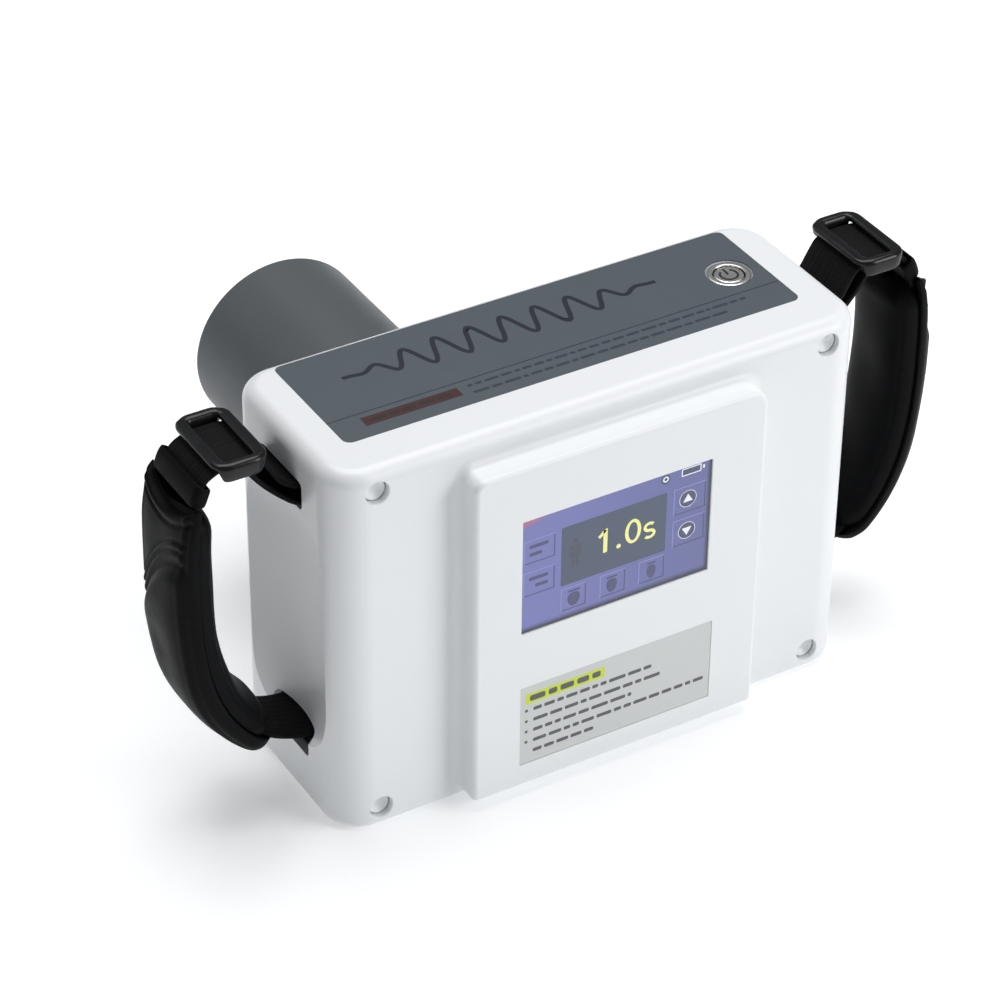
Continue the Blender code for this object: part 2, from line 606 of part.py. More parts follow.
def make_tank():
    body = box("tank_body", (TANK_X[0], TANK_Y[0], TANK_Z[0]), (TANK_X[1], TANK_Y[1], TANK_Z[1]), ALUMINIUM,
               axis=1, side=6.0, segments=3)
    cut(body, box("tank_room", (TANK_X[0] + TANK_WALL, TANK_Y[0] - 5.0, TANK_Z[0] + TANK_WALL),
                  (TANK_X[1] - TANK_WALL, TANK_Y[1] - TANK_WALL, TANK_Z[1] - TANK_WALL), axis=1, side=3.5, segments=2))
    cut(body, cylinder("tank_port", (CONE_X, TANK_Y[1], CONE_Z), 1, 8.0, 20.0))
    box("tank_lid", (TANK_X[0], TANK_Y[0] - GAP - 2.0, TANK_Z[0]), (TANK_X[1], TANK_Y[0] - GAP, TANK_Z[1]),
        ALUMINIUM, axis=1, side=6.0, segments=3)
    half = TUBE_LENGTH / 2
    wall = 1.2
    glass = [(6.0 - wall, half), (6.0, half), (TUBE_R, half - 6.0), (TUBE_R, -half), (TUBE_R - wall, -half),
             (TUBE_R - wall, half - 6.5)]
    turned("tube_envelope", (CONE_X, TUBE_Y, CONE_Z), 0, glass, GLASS, steps=20)
    anode_r = TUBE_R - wall - GAP
    anode = [(0.0, 3.0), (4.5, 3.0), (5.5, 2.0), (5.5, -16.0), (anode_r, -16.0), (anode_r, -half - 1.0),
             (TUBE_R - 0.5, -half - 1.0), (TUBE_R - 0.5, -half - 4.0), (0.0, -half - 4.0)]
    anode_obj = turned("tube_anode", (CONE_X, TUBE_Y, CONE_Z), 0, anode, COPPER, steps=18)
    wedge = box("target_face", (0.0, -20.0, -20.0), (20.0, 20.0, 20.0))
    wedge.matrix_world = (Matrix.Translation(Vector((CONE_X, TUBE_Y, CONE_Z)) * MM)
                          @ Matrix.Rotation(math.radians(20), 4, "Z"))
    cut(anode_obj, wedge)
    cathode = [(0.0, half + 5.0), (2.0, half + 5.0), (2.0, half - 2.0), (4.0, half - 3.5), (4.0, 11.0), (0.0, 11.0)]
    turned("tube_cathode", (CONE_X, TUBE_Y, CONE_Z), 0, cathode, STEEL, steps=16)


def make_transformer():
    x, y, z = -44.0, 0.0, 46.5
    core = box("transformer_core", (x - 13.0, y - 6.0, z - 8.5), (x + 13.0, y + 6.0, z + 8.5), FERRITE, axis=1,
               side=1.0, segments=2)
    cut(core, box("core_window_low", (x - 8.6, y - 20.0, z - 5.4), (x - 3.2, y + 20.0, z + 5.4)))
    cut(core, box("core_window_high", (x + 3.2, y - 20.0, z - 5.4), (x + 8.6, y + 20.0, z + 5.4)))
    coil = box("transformer_coil", (x - 8.2, y - 11.5, z - 5.0), (x + 8.2, y + 11.5, z + 5.0), WINDING, axis=2,
               side=2.0, segments=3)
    cut(coil, box("coil_room", (x - 3.5, y - 6.3, z - 20.0), (x + 3.5, y + 6.3, z + 20.0)))
    board = box("multiplier_board", (-24.0, -10.0, 40.0), (-2.5, 12.0, 41.6), BOARD_GREEN)
    for i in range(3):
        cap = cylinder(f"multiplier_cap_{i}", (-19.5 + 6.4 * i, 1.0, 44.5), 2, 2.8, 7.0, sides=14)
        cut(board, cap, operation="UNION")


# ---------------------------------------------------------------- electronics

def make_electronics():
    board = box("control_board", (-42.0, BOARD_Y, 8.0), (42.0, BOARD_Y + BOARD_THICK, 105.0), BOARD_GREEN, axis=1,
                side=2.0, segments=2)
    for i, (x, z) in enumerate(((-38.0, 12.0), (38.0, 12.0), (-38.0, 101.0), (38.0, 101.0))):
        cut(board, cylinder(f"board_hole_{i}", (x, BOARD_Y, z), 1, 1.6, 10.0, sides=12))
    chips = (((-30.0, 62.0), (12.0, 12.0, 1.6)), ((8.0, 60.0), (9.0, 9.0, 1.2)), ((-12.0, 24.0), (16.0, 10.0, 1.8)))
    for i, ((x, z), (w, h, t)) in enumerate(chips):
        chip = box(f"chip_{i}", (x - w / 2, BOARD_Y - t, z - h / 2), (x + w / 2, BOARD_Y + 0.8, z + h / 2))
        cut(board, chip, operation="UNION")
    y = BOARD_Y + BOARD_THICK + GAP
    profile = [(0.0, 7.0), (6.0, 7.0), (6.0, 0.6), (5.4, 0.0), (0.0, 0.0)]
    turned("buzzer", (26.0, y, 92.0), 1, profile, BLACK_PLASTIC, steps=16)

    battery = box("battery_pack", (BATTERY_X - CELL_PITCH, BATTERY_Y - 7.0, BATTERY_Z[0]),
                  (BATTERY_X + CELL_PITCH, BATTERY_Y + 7.0, BATTERY_Z[1]), BATTERY_BLUE)
    for i in (-1, 0, 1):
        cell = cylinder(f"cell_{i + 1}", (BATTERY_X + i * CELL_PITCH, BATTERY_Y, sum(BATTERY_Z) / 2), 2, CELL_R,
                        BATTERY_Z[1] - BATTERY_Z[0], sides=20)
        cut(battery, cell, operation="UNION")
    tray_low = (BATTERY_X - 29.3, BATTERY_Y - 12.0, BATTERY_Z[0] - 2.5)
    tray_high = (BATTERY_X + 29.3, BATTERY_Y + 11.5, BATTERY_Z[0] + 18.0)
    tray = box("battery_tray", tray_low, tray_high, WHITE, axis=2, side=3.0, segments=2)
    cut(tray, box("tray_room", (tray_low[0] + 1.3, tray_low[1] + 1.5, BATTERY_Z[0] - GAP),
                  (tray_high[0] - 1.3, tray_high[1] - 1.5, 60.0), axis=2, side=1.5, segments=2))

    face = CASE_BACK - 0.2
    outer = [(0.0, 28.0), (1.0, 27.6), (1.0, 22.0), (2.8, 22.0), (2.8, face), (CHARGE_R - 0.4, face),
             (CHARGE_R, face - 0.4), (CHARGE_R, 21.0), (0.0, 21.0)]
    turned("charge_socket", (CHARGE_X, 0.0, CHARGE_Z), 1, outer, BLACK_PLASTIC, steps=16)


# ---------------------------------------------------------------- hand straps

def strap_path():
    """The +X webbing's three free stretches as (x, z) points of its middle line.

    It starts under the slider's bar, goes in to the upper pin, comes out over the slider and bends
    round the hand to the lower pin.
    """
    under = [(96.5, 114.6), (92.6, 109.4), (87.5, 104.2), (82.5, UPPER_PIN[1] - PIN_LOOP_R - 0.1)]
    over = [(82.5, UPPER_PIN[1] + PIN_LOOP_R + 0.1), (87.2, 108.6), (90.2, 113.4), (92.6, 117.0),
            (95.5, SLIDER_Z - 0.1), (97.0, SLIDER_Z), (103.5, SLIDER_Z)]
    bend = [(106.0, SLIDER_Z - 0.6), (109.3, 115.6), (111.6, 110.8), (113.0, 104.0), (113.7, 95.0), (113.9, 85.0),
            (113.8, 75.0), (112.9, 64.0), (110.8, 53.0), (106.9, 42.5), (101.0, 33.6), (93.6, 27.2), (86.5, 23.8),
            (80.5, LOWER_PIN[1] + PIN_LOOP_R)]
    return under, over, bend


def webbing_path():
    under, over, bend = strap_path()
    start = curve_through(under + [(UPPER_PIN[0] + 1.0, UPPER_PIN[1] - PIN_LOOP_R)], 2)
    wrap = arc(UPPER_PIN, PIN_LOOP_R, -90, -270, 7)
    main = curve_through([(UPPER_PIN[0] + 1.0, UPPER_PIN[1] + PIN_LOOP_R), *over, *bend,
                          (LOWER_PIN[0] + 1.0, LOWER_PIN[1] + PIN_LOOP_R)], 2)
    lower = arc(LOWER_PIN, PIN_LOOP_R, 90, 270, 7)
    tail = [Vector((LOWER_PIN[0] + reach, LOWER_PIN[1] - PIN_LOOP_R)) for reach in (3.0, 7.0)]
    return start + wrap + main + lower + tail


def pad_path(first, last):
    """Middle line of the webbing's long outer bend between two heights near its ends."""
    bend = curve_through(strap_path()[2], 3)
    return [p for p in bend if p.x > 93.0 and (p.y < first) and (p.y > last)]


def make_strap():
    """The +X strap's pieces; the other side is a mirror image."""
    made = [(ribbon("strap_webbing_right", webbing_path(), WEB_THICK, WEB_WIDTH, BLACK_WEB), BLACK_WEB)]
    outer_shift = WEB_THICK / 2 + GAP + PAD_OUTER_THICK / 2
    inner_shift = WEB_THICK / 2 + GAP + PAD_INNER_THICK / 2
    made.append((ribbon("strap_pad_outer_right", pad_path(107.5, 27.5), PAD_OUTER_THICK, PAD_WIDTH, BLACK_PAD,
                        offset=outer_shift, round_ends=8.0), BLACK_PAD))
    made.append((ribbon("strap_pad_inner_right", pad_path(106.5, 30.0), PAD_INNER_THICK, PAD_WIDTH, BLACK_PAD,
                        offset=-inner_shift, round_ends=8.0), BLACK_PAD))

    half_l = SLIDER_LENGTH / 2
    half_w = SLIDER_WIDTH / 2
    over = SLIDER_Z + WEB_THICK / 2 + GAP
    under = SLIDER_Z - WEB_THICK / 2 - GAP
    slider = box("strap_slider_right", (SLIDER_X - half_l, -half_w, under - 1.2),
                 (SLIDER_X + half_l, half_w, over + 2.0), BLACK_PLASTIC, axis=2, side=2.5, cap_high=0.8, segments=4)
    bay = WEB_WIDTH / 2 + 0.7
    cut(slider, box("slider_window", (SLIDER_X - half_l + 2.6, -bay, under - 10.0),
                    (SLIDER_X + half_l - 2.6, bay, over + 10.0), axis=2, side=0.8, segments=2))
    cut(slider, box("slider_passage", (SLIDER_X - 40.0, -bay, under - 10.0), (SLIDER_X + 40.0, bay, over)))
    bar = box("slider_bar", (SLIDER_X - 1.4, -half_w + 1.0, under - 1.2), (SLIDER_X + 1.4, half_w - 1.0, under))
    cut(slider, bar, operation="UNION")
    made.append((slider, BLACK_PLASTIC))

    keeper = box("strap_keeper_right", (-2.7, -12.0, -2.6), (2.7, 12.0, 2.6), BLACK_PAD, axis=1, side=0.8, segments=2)
    keeper_room = box("keeper_room", (-1.5, -bay, -20.0), (1.5, bay, 20.0))
    cut(keeper, keeper_room)
    keeper_room.parent = keeper
    keeper.matrix_world = (Matrix.Translation(Vector((KEEPER_AT[0], 0.0, KEEPER_AT[1])) * MM)
                           @ Matrix.Rotation(math.radians(KEEPER_LEAN), 4, "Y"))
    made.append((keeper, BLACK_PAD))

    for tag, (px, pz), (x0, x1) in (("upper", UPPER_PIN, (72.2, 78.6)), ("lower", LOWER_PIN, (68.6, 75.2))):
        yoke = box(f"strap_anchor_{tag}_right", (x0 - 1.8, -14.6, pz - 3.4), (x1, 14.6, pz + 3.4), BLACK_PLASTIC,
                   axis=0, side=1.0, segments=2)
        cheek = WEB_WIDTH / 2 + 0.6
        cut(yoke, box(f"yoke_room_{tag}", (x0 - 0.2, -cheek, pz - 10.0), (x1 + 10.0, cheek, pz + 10.0)))
        cut(yoke, cylinder(f"yoke_bore_{tag}", (px, 0.0, pz), 1, PIN_R + GAP, 40.0, sides=12))
        made.append((yoke, BLACK_PLASTIC))
        made.append((cylinder(f"anchor_pin_{tag}_right", (px, 0.0, pz), 1, PIN_R, 28.4, STEEL, sides=12), STEEL))
    for obj, finish in made:
        mirrored(obj, obj.name.replace("_right", "_left"), finish)


clear_scene()
parts = new_collection("intraoral_xray_unit")
cutters = new_collection("cutters")
make_case()
make_cover()
make_gasket()
corners = [(x, z) for x in (-SCREW_X, SCREW_X) for z in SCREW_Z]
for number, (corner_x, corner_z) in enumerate(corners, start=1):
    make_screw(f"case_screw_{number}", corner_x, corner_z)
    make_plug(f"case_plug_{number}", corner_x, corner_z)
make_screen()
make_labels()
make_button()
make_cone()
make_collimator()
make_tank()
make_transformer()
make_electronics()
make_strap()
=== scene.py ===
"""Looks of a hand-held intraoral x-ray unit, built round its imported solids.

Lengths are in millimetres and turned to metres as a mesh is made. +Y points from the operator to the
patient, +X to the operator's right, and the origin is the middle of the casing's flat base.
"""

import bmesh
import bpy
import numpy as np
from mathutils import Matrix, Vector


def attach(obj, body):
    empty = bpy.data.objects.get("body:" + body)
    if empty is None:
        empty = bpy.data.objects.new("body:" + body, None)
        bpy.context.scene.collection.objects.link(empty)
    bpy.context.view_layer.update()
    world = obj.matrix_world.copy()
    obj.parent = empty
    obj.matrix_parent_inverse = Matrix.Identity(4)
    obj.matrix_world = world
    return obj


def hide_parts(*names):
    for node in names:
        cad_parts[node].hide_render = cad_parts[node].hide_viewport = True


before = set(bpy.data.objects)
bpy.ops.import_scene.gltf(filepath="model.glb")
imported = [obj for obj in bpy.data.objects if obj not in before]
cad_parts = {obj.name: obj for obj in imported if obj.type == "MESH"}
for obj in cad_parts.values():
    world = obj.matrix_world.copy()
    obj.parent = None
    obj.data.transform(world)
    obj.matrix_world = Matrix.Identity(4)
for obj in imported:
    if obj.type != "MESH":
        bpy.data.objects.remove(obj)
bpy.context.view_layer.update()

MM = 0.001


# ---------------------------------------------------------------- camera, floor and light
# A long lens from the operator's left, above the casing. A pale floor under soft studio light: one
# wide lamp overhead, one at the operator's right and a weak one behind the unit for the rims.

AZIMUTH = np.radians(-30.905)
ELEVATION = np.radians(35.454)
ROLL = np.radians(0.634)
AIM = np.array((-8.465, 12.2, 61.489))
DISTANCE = 1013.55
FOCAL_LENGTH = 130.95

away = np.array((np.sin(AZIMUTH) * np.cos(ELEVATION),
                 -np.cos(AZIMUTH) * np.cos(ELEVATION),
                 np.sin(ELEVATION)))
level = np.array((np.cos(AZIMUTH), np.sin(AZIMUTH), 0.0))
upright = np.cross(away, level)
right_hand = np.cos(ROLL) * level + np.sin(ROLL) * upright
overhead = -np.sin(ROLL) * level + np.cos(ROLL) * upright
camera = bpy.data.objects.new("camera", bpy.data.cameras.new("camera"))
camera.data.lens = FOCAL_LENGTH
camera.data.sensor_width = 36.0
camera.data.clip_start = 0.05
camera.data.clip_end = 20.0
turn = Matrix((right_hand, overhead, away)).transposed()
camera.matrix_world = Matrix.Translation((AIM + away * DISTANCE) * MM) @ turn.to_4x4()
bpy.context.scene.collection.objects.link(camera)
bpy.context.scene.camera = camera


def lamp(name, place, target, size, power):
    """A square area lamp at `place`, in metres, that faces `target`."""
    light = bpy.data.lights.new(name, "AREA")
    light.shape = "SQUARE"
    light.size = size
    light.energy = power
    obj = bpy.data.objects.new(name, light)
    facing = (Vector(target) - Vector(place)).to_track_quat("-Z", "Y")
    obj.matrix_world = Matrix.Translation(place) @ facing.to_matrix().to_4x4()
    bpy.context.scene.collection.objects.link(obj)


lamp("overhead", (0.15, 0.25, 1.35), (0.0, 0.0, 0.05), 1.1, 14.5)
lamp("right_side", (0.95, -1.05, 0.75), (0.0, 0.0, 0.05), 0.8, 11.5)
lamp("behind", (-0.6, 1.2, 0.7), (0.0, 0.0, 0.06), 0.7, 1.2)

world = bpy.data.worlds.new("studio")
world.use_nodes = True
sky = world.node_tree.nodes["Background"]
sky.inputs["Color"].default_value = (0.94, 0.97, 1.0, 1.0)
sky.inputs["Strength"].default_value = 0.20
bpy.context.scene.world = world
bpy.context.scene.view_settings.view_transform = "Standard"

FLOOR_HALF = 6.0
FLOOR_Z = -0.0004

floor_mesh = bpy.data.meshes.new("floor")
floor_corners = [(x * FLOOR_HALF, y * FLOOR_HALF, FLOOR_Z) for x, y in ((-1, -1), (1, -1), (1, 1), (-1, 1))]
floor_mesh.from_pydata(floor_corners, [], [(0, 1, 2, 3)])
floor = bpy.data.objects.new("floor", floor_mesh)
bpy.context.scene.collection.objects.link(floor)
floor_paper = bpy.data.materials.new("floor_paper")
floor_paper.use_nodes = True
paper = floor_paper.node_tree.nodes["Principled BSDF"]
paper.inputs["Base Color"].default_value = (0.93, 0.94, 0.95, 1.0)
paper.inputs["Roughness"].default_value = 0.9
paper.inputs["Specular IOR Level"].default_value = 0.1
paper.inputs["Emission Color"].default_value = (1.0, 1.0, 1.0, 1.0)
paper.inputs["Emission Strength"].default_value = 0.26
floor_mesh.materials.append(floor_paper)


# ---------------------------------------------------------------- casing
# A deep two-part box of white satin ABS. The operator's half carries a raised display plate with a
# hollow fillet at its foot, a shallow scoop in each side wall and two strap slots a side. Four long
# screws in deep wells draw it against the thin patient's cover.

class Number:
    """A number socket; arithmetic on it adds Math nodes."""

    def __init__(self, finish, socket):
        self.finish = finish
        self.socket = socket

    def math(self, operation, *others):
        made = self.finish.tree.nodes.new("ShaderNodeMath")
        made.operation = operation
        for slot_in, value in zip(made.inputs, others):
            if isinstance(value, Number):
                self.finish.tree.links.new(value.socket, slot_in)
            else:
                slot_in.default_value = float(value)
        return Number(self.finish, made.outputs[0])

    def __add__(self, other):
        return self.math("ADD", self, other)

    def __sub__(self, other):
        return self.math("SUBTRACT", self, other)

    def __rsub__(self, other):
        return self.math("SUBTRACT", other, self)

    def __mul__(self, other):
        return self.math("MULTIPLY", self, other)

    def __pow__(self, other):
        return self.math("POWER", self, other)

    def sin(self):
        return self.math("SINE", self)

    __radd__ = __add__
    __rmul__ = __mul__

    def step(self, low, high):
        """0 below `low`, 1 above `high`, smooth between."""
        made = self.finish.node("MapRange", {"interpolation_type": "SMOOTHSTEP"},
                                {"Value": self, "From Min": low, "From Max": high})
        return Number(self.finish, made.outputs[0])


class Finish:
    """A material round one Principled shader; constants go straight onto its sockets."""

    def __init__(self, name, color, roughness, **constants):
        self.material = bpy.data.materials.new(name)
        self.material.use_nodes = True
        self.tree = self.material.node_tree
        self.shader = self.tree.nodes["Principled BSDF"]
        self.color = (*color, 1.0)
        self.material.diffuse_color = self.color
        self.put("Base Color", self.color)
        self.put("Roughness", roughness)
        for key, value in constants.items():
            self.put(key.replace("_", " ").title(), value)

    def put(self, name, value):
        """Set or link one of the shader's sockets."""
        self.plug(self.shader.inputs[name], value)

    def plug(self, socket, value):
        if isinstance(value, Number):
            self.tree.links.new(value.socket, socket)
        elif isinstance(value, bpy.types.NodeSocket):
            self.tree.links.new(value, socket)
        else:
            socket.default_value = value

    def node(self, kind, settings=None, values=None):
        """Any node: its settings first, then the values or links of its sockets."""
        made = self.tree.nodes.new("ShaderNode" + kind)
        for key, value in (settings or {}).items():
            setattr(made, key, value)
        for key, value in (values or {}).items():
            self.plug(made.inputs[key], value)
        return made

    def place(self):
        return self.node("TexCoord").outputs["Object"]

    def axes(self, source=None):
        """The three coordinates, in millimetres, as numbers."""
        parts = self.node("SeparateXYZ", None, {"Vector": source or self.place()})
        return [Number(self, parts.outputs[i]) * 1000.0 for i in range(3)]

    def noise(self, scale, detail=2.0, roughness=0.5):
        made = self.node("TexNoise", None, {"Vector": self.place(), "Scale": scale, "Detail": detail,
                                            "Roughness": roughness})
        return Number(self, made.outputs["Fac"])

    def mix(self, factor, low, high):
        """Colour between two colours."""
        made = self.node("Mix", {"data_type": "RGBA"})
        self.plug(made.inputs[0], factor)
        self.plug(made.inputs[6], low)
        self.plug(made.inputs[7], high)
        return made.outputs[2]

    def bump(self, height, depth, strength=1.0):
        """Relief of `depth` millimetres where height goes from 0 to 1."""
        made = self.node("Bump", None, {"Height": height, "Distance": depth * MM, "Strength": strength})
        self.put("Normal", made.outputs["Normal"])

    def tint(self, factor, darker, lighter):
        """Base colour that varies between two multiples of the finish's own colour."""
        own = np.array(self.color[:3])
        self.put("Base Color", self.mix(factor, (*(own * darker), 1.0), (*(own * lighter), 1.0)))

    def wear(self, tint=None, rough=None, relief=None):
        """Uneven colour, roughness and relief, each over noise. Every tuple starts with the noise's scale,
        detail and, at will, roughness. It ends with the darker and lighter multiples of the colour, with
        the lowest roughness and what the noise adds, or with the relief's depth and strength."""
        if tint:
            self.tint(self.noise(*tint[:-2]), *tint[-2:])
        if rough:
            self.put("Roughness", rough[-2] + self.noise(*rough[:-2]) * rough[-1])
        if relief:
            self.bump(self.noise(*relief[:-2]), *relief[-2:])
        return self


white_abs = Finish("white_abs", (0.80, 0.815, 0.83), 0.36, coat_roughness=0.3)
white_cloud = white_abs.noise(14.0, 3.0)
white_abs.tint(white_cloud, 0.985, 1.015)
white_abs.put("Roughness", 0.33 + white_abs.noise(45.0, 5.0, 0.65) * 0.10)
white_abs.put("Coat Weight", 0.08 + white_cloud * 0.08)
white_abs.bump(white_abs.noise(1900.0, 2.0) * 0.8 + white_abs.noise(260.0, 2.0) * 0.6, 0.012, 0.5)


def quads(rows, columns, wrap_columns=True, wrap_rows=False):
    """Corner numbers of the squares between neighbouring points of a rows x columns grid."""
    r = np.arange(rows if wrap_rows else rows - 1)[:, None]
    c = np.arange(columns if wrap_columns else columns - 1)[None, :]
    r_next = (r + 1) % rows
    c_next = (c + 1) % columns
    corners = (r * columns + c, r * columns + c_next, r_next * columns + c_next, r_next * columns + c)
    return np.stack(np.broadcast_arrays(*corners), -1).reshape(-1, 4)


def faces_out(mesh, merge=False):
    """Turn a mesh's faces outwards, after merging its doubles where asked."""
    bm = bmesh.new()
    bm.from_mesh(mesh)
    if merge:
        bmesh.ops.remove_doubles(bm, verts=bm.verts, dist=1e-7)
    bmesh.ops.recalc_face_normals(bm, faces=bm.faces)
    bm.to_mesh(mesh)
    bm.free()


def solid_mesh(name, points, faces, merge=True):
    """A mesh in metres from points in millimetres, as a rule with doubles merged and faces outwards."""
    mesh = bpy.data.meshes.new(name)
    mesh.from_pydata((np.asarray(points, float).reshape(-1, 3) * MM).tolist(), [], faces)
    if merge:
        faces_out(mesh, merge=True)
    return mesh


def put_in(name, mesh, *finishes):
    obj = bpy.data.objects.new(name, mesh)
    bpy.context.scene.collection.objects.link(obj)
    for finish in finishes:
        mesh.materials.append(finish.material)
    return obj


def belongs(piece, body, node=None):
    """The body a piece rides on and, where it stands in for a solid, that solid."""
    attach(piece, body)
    if node:
        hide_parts(node)


def loft(name, rings, *finishes):
    """A closed solid over rings of points (m, n, 3), each ring closed, the end rings filled."""
    rings = np.asarray(rings, float)
    rows, columns = rings.shape[:2]
    ends = [list(range(columns))[::-1], list(range((rows - 1) * columns, rows * columns))]
    return put_in(name, solid_mesh(name, rings, quads(rows, columns).tolist() + ends), *finishes)


def rounded_rectangle(half_w, half_h, radius, steps=12):
    """Outline (n, 2): quarter circles about the four inner corners, joined by straight sides."""
    angles = (np.linspace(0.0, np.pi / 2, steps + 1)[None, :] + np.arange(4)[:, None] * np.pi / 2).ravel()
    signs = np.repeat(((1, 1), (-1, 1), (-1, -1), (1, -1)), steps + 1, axis=0)
    inner = signs * (half_w - radius, half_h - radius)
    return inner + radius * np.stack((np.cos(angles), np.sin(angles)), -1)


def quarter(radius, steps):
    """(run, rise) of a quarter circle that starts level and ends upright."""
    a = np.linspace(0.0, np.pi / 2, steps + 1)
    return radius * np.sin(a), radius * (1 - np.cos(a))


def carve(target, operation, *tools):
    """Apply exact booleans to an object's own mesh and throw the tools away."""
    for tool in tools:
        boolean = target.modifiers.new("carve", "BOOLEAN")
        boolean.operation = operation
        boolean.solver = "EXACT"
        boolean.object = tool
    graph = bpy.context.evaluated_depsgraph_get()
    graph.update()
    mesh = bpy.data.meshes.new_from_object(target.evaluated_get(graph))
    target.modifiers.clear()
    target.data = mesh
    for tool in tools:
        bpy.data.objects.remove(tool, do_unlink=True)
    return target


def hard_surface(obj, angle=28.0):
    """Smooth shading that stays flat on flats: creases sharper than `angle`, normals by face area."""
    obj.data.shade_smooth()
    obj.data.set_sharp_from_angle(angle=np.radians(angle))
    weighted = obj.modifiers.new("even_normals", "WEIGHTED_NORMAL")
    weighted.mode = "FACE_AREA"
    weighted.weight = 100
    weighted.keep_sharp = True
    return obj


CASE_HALF_W = 82.5
CASE_HALF_D = 29.8
CASE_H = 117.7
CASE_CORNER = 11.0
TOP_ROUND = 4.5
BASE_ROUND = 3.0
WALL = 2.5
PARTING_Y = 27.0
PLATE_Y = -37.8
PLATE_HALF_W = 45.7
PLATE_Z = (3.2, 109.8)
SCREW_X = 70.0
SCREW_Z = (6.5, 111.2)
WELL_R = 3.4
WELL_FLARE = 0.5
WELL_DEPTH = 10.0
PROUD = 5.0
CASE_MOUTH = ((-75.2, 3.0), (75.2, 114.7))
SLOT_X = (76.0, 92.0)
SLOT_HALF_Y = 11.4
SLOTS_Z = ((98.6, 107.2), (16.0, 24.0))
WINDOW = ((-31.1, 56.0), (28.1, 92.9))
INFO = ((-31.2, 10.8), (30.6, 37.6))
TOP_LABEL = ((-70.9, -14.7), (70.9, 26.6))
BED = 0.6
BUTTON_XY = (61.2, 6.6)
BUTTON_SEAT = ((6.7, 1.8), (5.9, 8.0))


def case_form(name, *finishes):
    """Rounded rectangle carried up a profile: base round, straight wall, top round."""
    base_in, base_up = quarter(BASE_ROUND, 6)
    top_in, top_up = quarter(TOP_ROUND, 10)
    inset = np.concatenate((BASE_ROUND - base_in, TOP_ROUND - top_in[::-1]))
    height = np.concatenate((base_up, CASE_H - top_up[::-1]))
    rings = []
    for d, z in zip(inset, height):
        outline = rounded_rectangle(CASE_HALF_W - d, CASE_HALF_D - d, CASE_CORNER - d, 18)
        rings.append(np.column_stack((outline, np.full(len(outline), z))))
    return loft(name, rings, *finishes)


def block(name, low, high, axis=2, radius=0.0, flare=0.0, flare_at=None, steps=6):
    """A rounded rectangle carried along `axis`; `flare` widens it by a quarter circle up to the level
    `flare_at`, so that an opening it cuts has a rounded lip."""
    low, high = np.array(low, float), np.array(high, float)
    u, v = [i for i in range(3) if i != axis]
    mid = (low + high) / 2
    half = (high - low) / 2
    levels, grows = [low[axis], high[axis]], [0.0, 0.0]
    if flare:
        a = np.linspace(0.0, np.pi / 2, 6)
        toward = np.sign(flare_at - mid[axis])
        deep, proud = levels[::int(toward)]
        levels = [deep, *(flare_at - toward * flare * (1 - np.sin(a))), proud]
        grows = [0.0, *(flare * (1 - np.cos(a))), flare]
    rings = []
    for level_at, grow in zip(levels, grows):
        outline = rounded_rectangle(half[u] + grow, half[v] + grow, max(radius, 0.02) + grow, steps)
        ring = np.empty((len(outline), 3))
        ring[:, u] = outline[:, 0] + mid[u]
        ring[:, v] = outline[:, 1] + mid[v]
        ring[:, axis] = level_at
        rings.append(ring)
    return loft(name, rings)


def turned(name, centre, axis, profile, *finishes, steps=64):
    """A profile of (radius, height) points turned round `axis`; a radius of 0 closes a pole."""
    profile = np.asarray(profile, float)
    angle = np.linspace(0.0, 2 * np.pi, steps, endpoint=False)
    u, v = ((1, 2), (2, 0), (0, 1))[axis]
    rings = np.zeros((len(profile), steps, 3))
    rings[:, :, u] = centre[u] + profile[:, :1] * np.cos(angle)
    rings[:, :, v] = centre[v] + profile[:, :1] * np.sin(angle)
    rings[:, :, axis] = centre[axis] + profile[:, 1:]
    faces = quads(len(profile), steps, wrap_rows=profile[0, 0] > 0.0).tolist()
    return put_in(name, solid_mesh(name, rings, faces), *finishes)


def plate_form(name, *finishes):
    """Display plate: its outline carried over a hollow fillet, a short wall and a rounded face edge."""
    fillet = 3.0
    edge = 1.6
    sunk = 1.2
    a = np.linspace(0.0, np.pi / 2, 9)
    corners = ((1, 1, 5.5), (-1, 1, 3.4), (-1, -1, 1.6), (1, -1, 1.6))

    def outline(y, grow):
        rows = []
        for quadrant, (side_x, side_z, radius) in enumerate(corners):
            radius = radius + grow
            turn = a + quadrant * np.pi / 2
            cx = side_x * (PLATE_HALF_W + grow - radius)
            cz = PLATE_Z[1] + grow - radius if side_z > 0 else PLATE_Z[0] - min(grow, 0.0) + radius
            rows.append(np.column_stack((cx + radius * np.cos(turn), np.full(len(a), y),
                                         cz + radius * np.sin(turn))))
        return np.concatenate(rows)

    rings = [outline(sunk - CASE_HALF_D, fillet)]
    rings += [outline(-CASE_HALF_D - fillet * (1 - np.cos(t)), fillet * (1 - np.sin(t))) for t in a]
    rings += [outline(PLATE_Y + edge * (1 - np.sin(t)), -edge * (1 - np.cos(t))) for t in a]
    return loft(name, rings, *finishes)


SCOOP_DEPTH = 6.5
SCOOP_HALF_W = 22.0
SCOOP_HALF_H = 39.0
SCOOP_STRAIGHT = 20.0


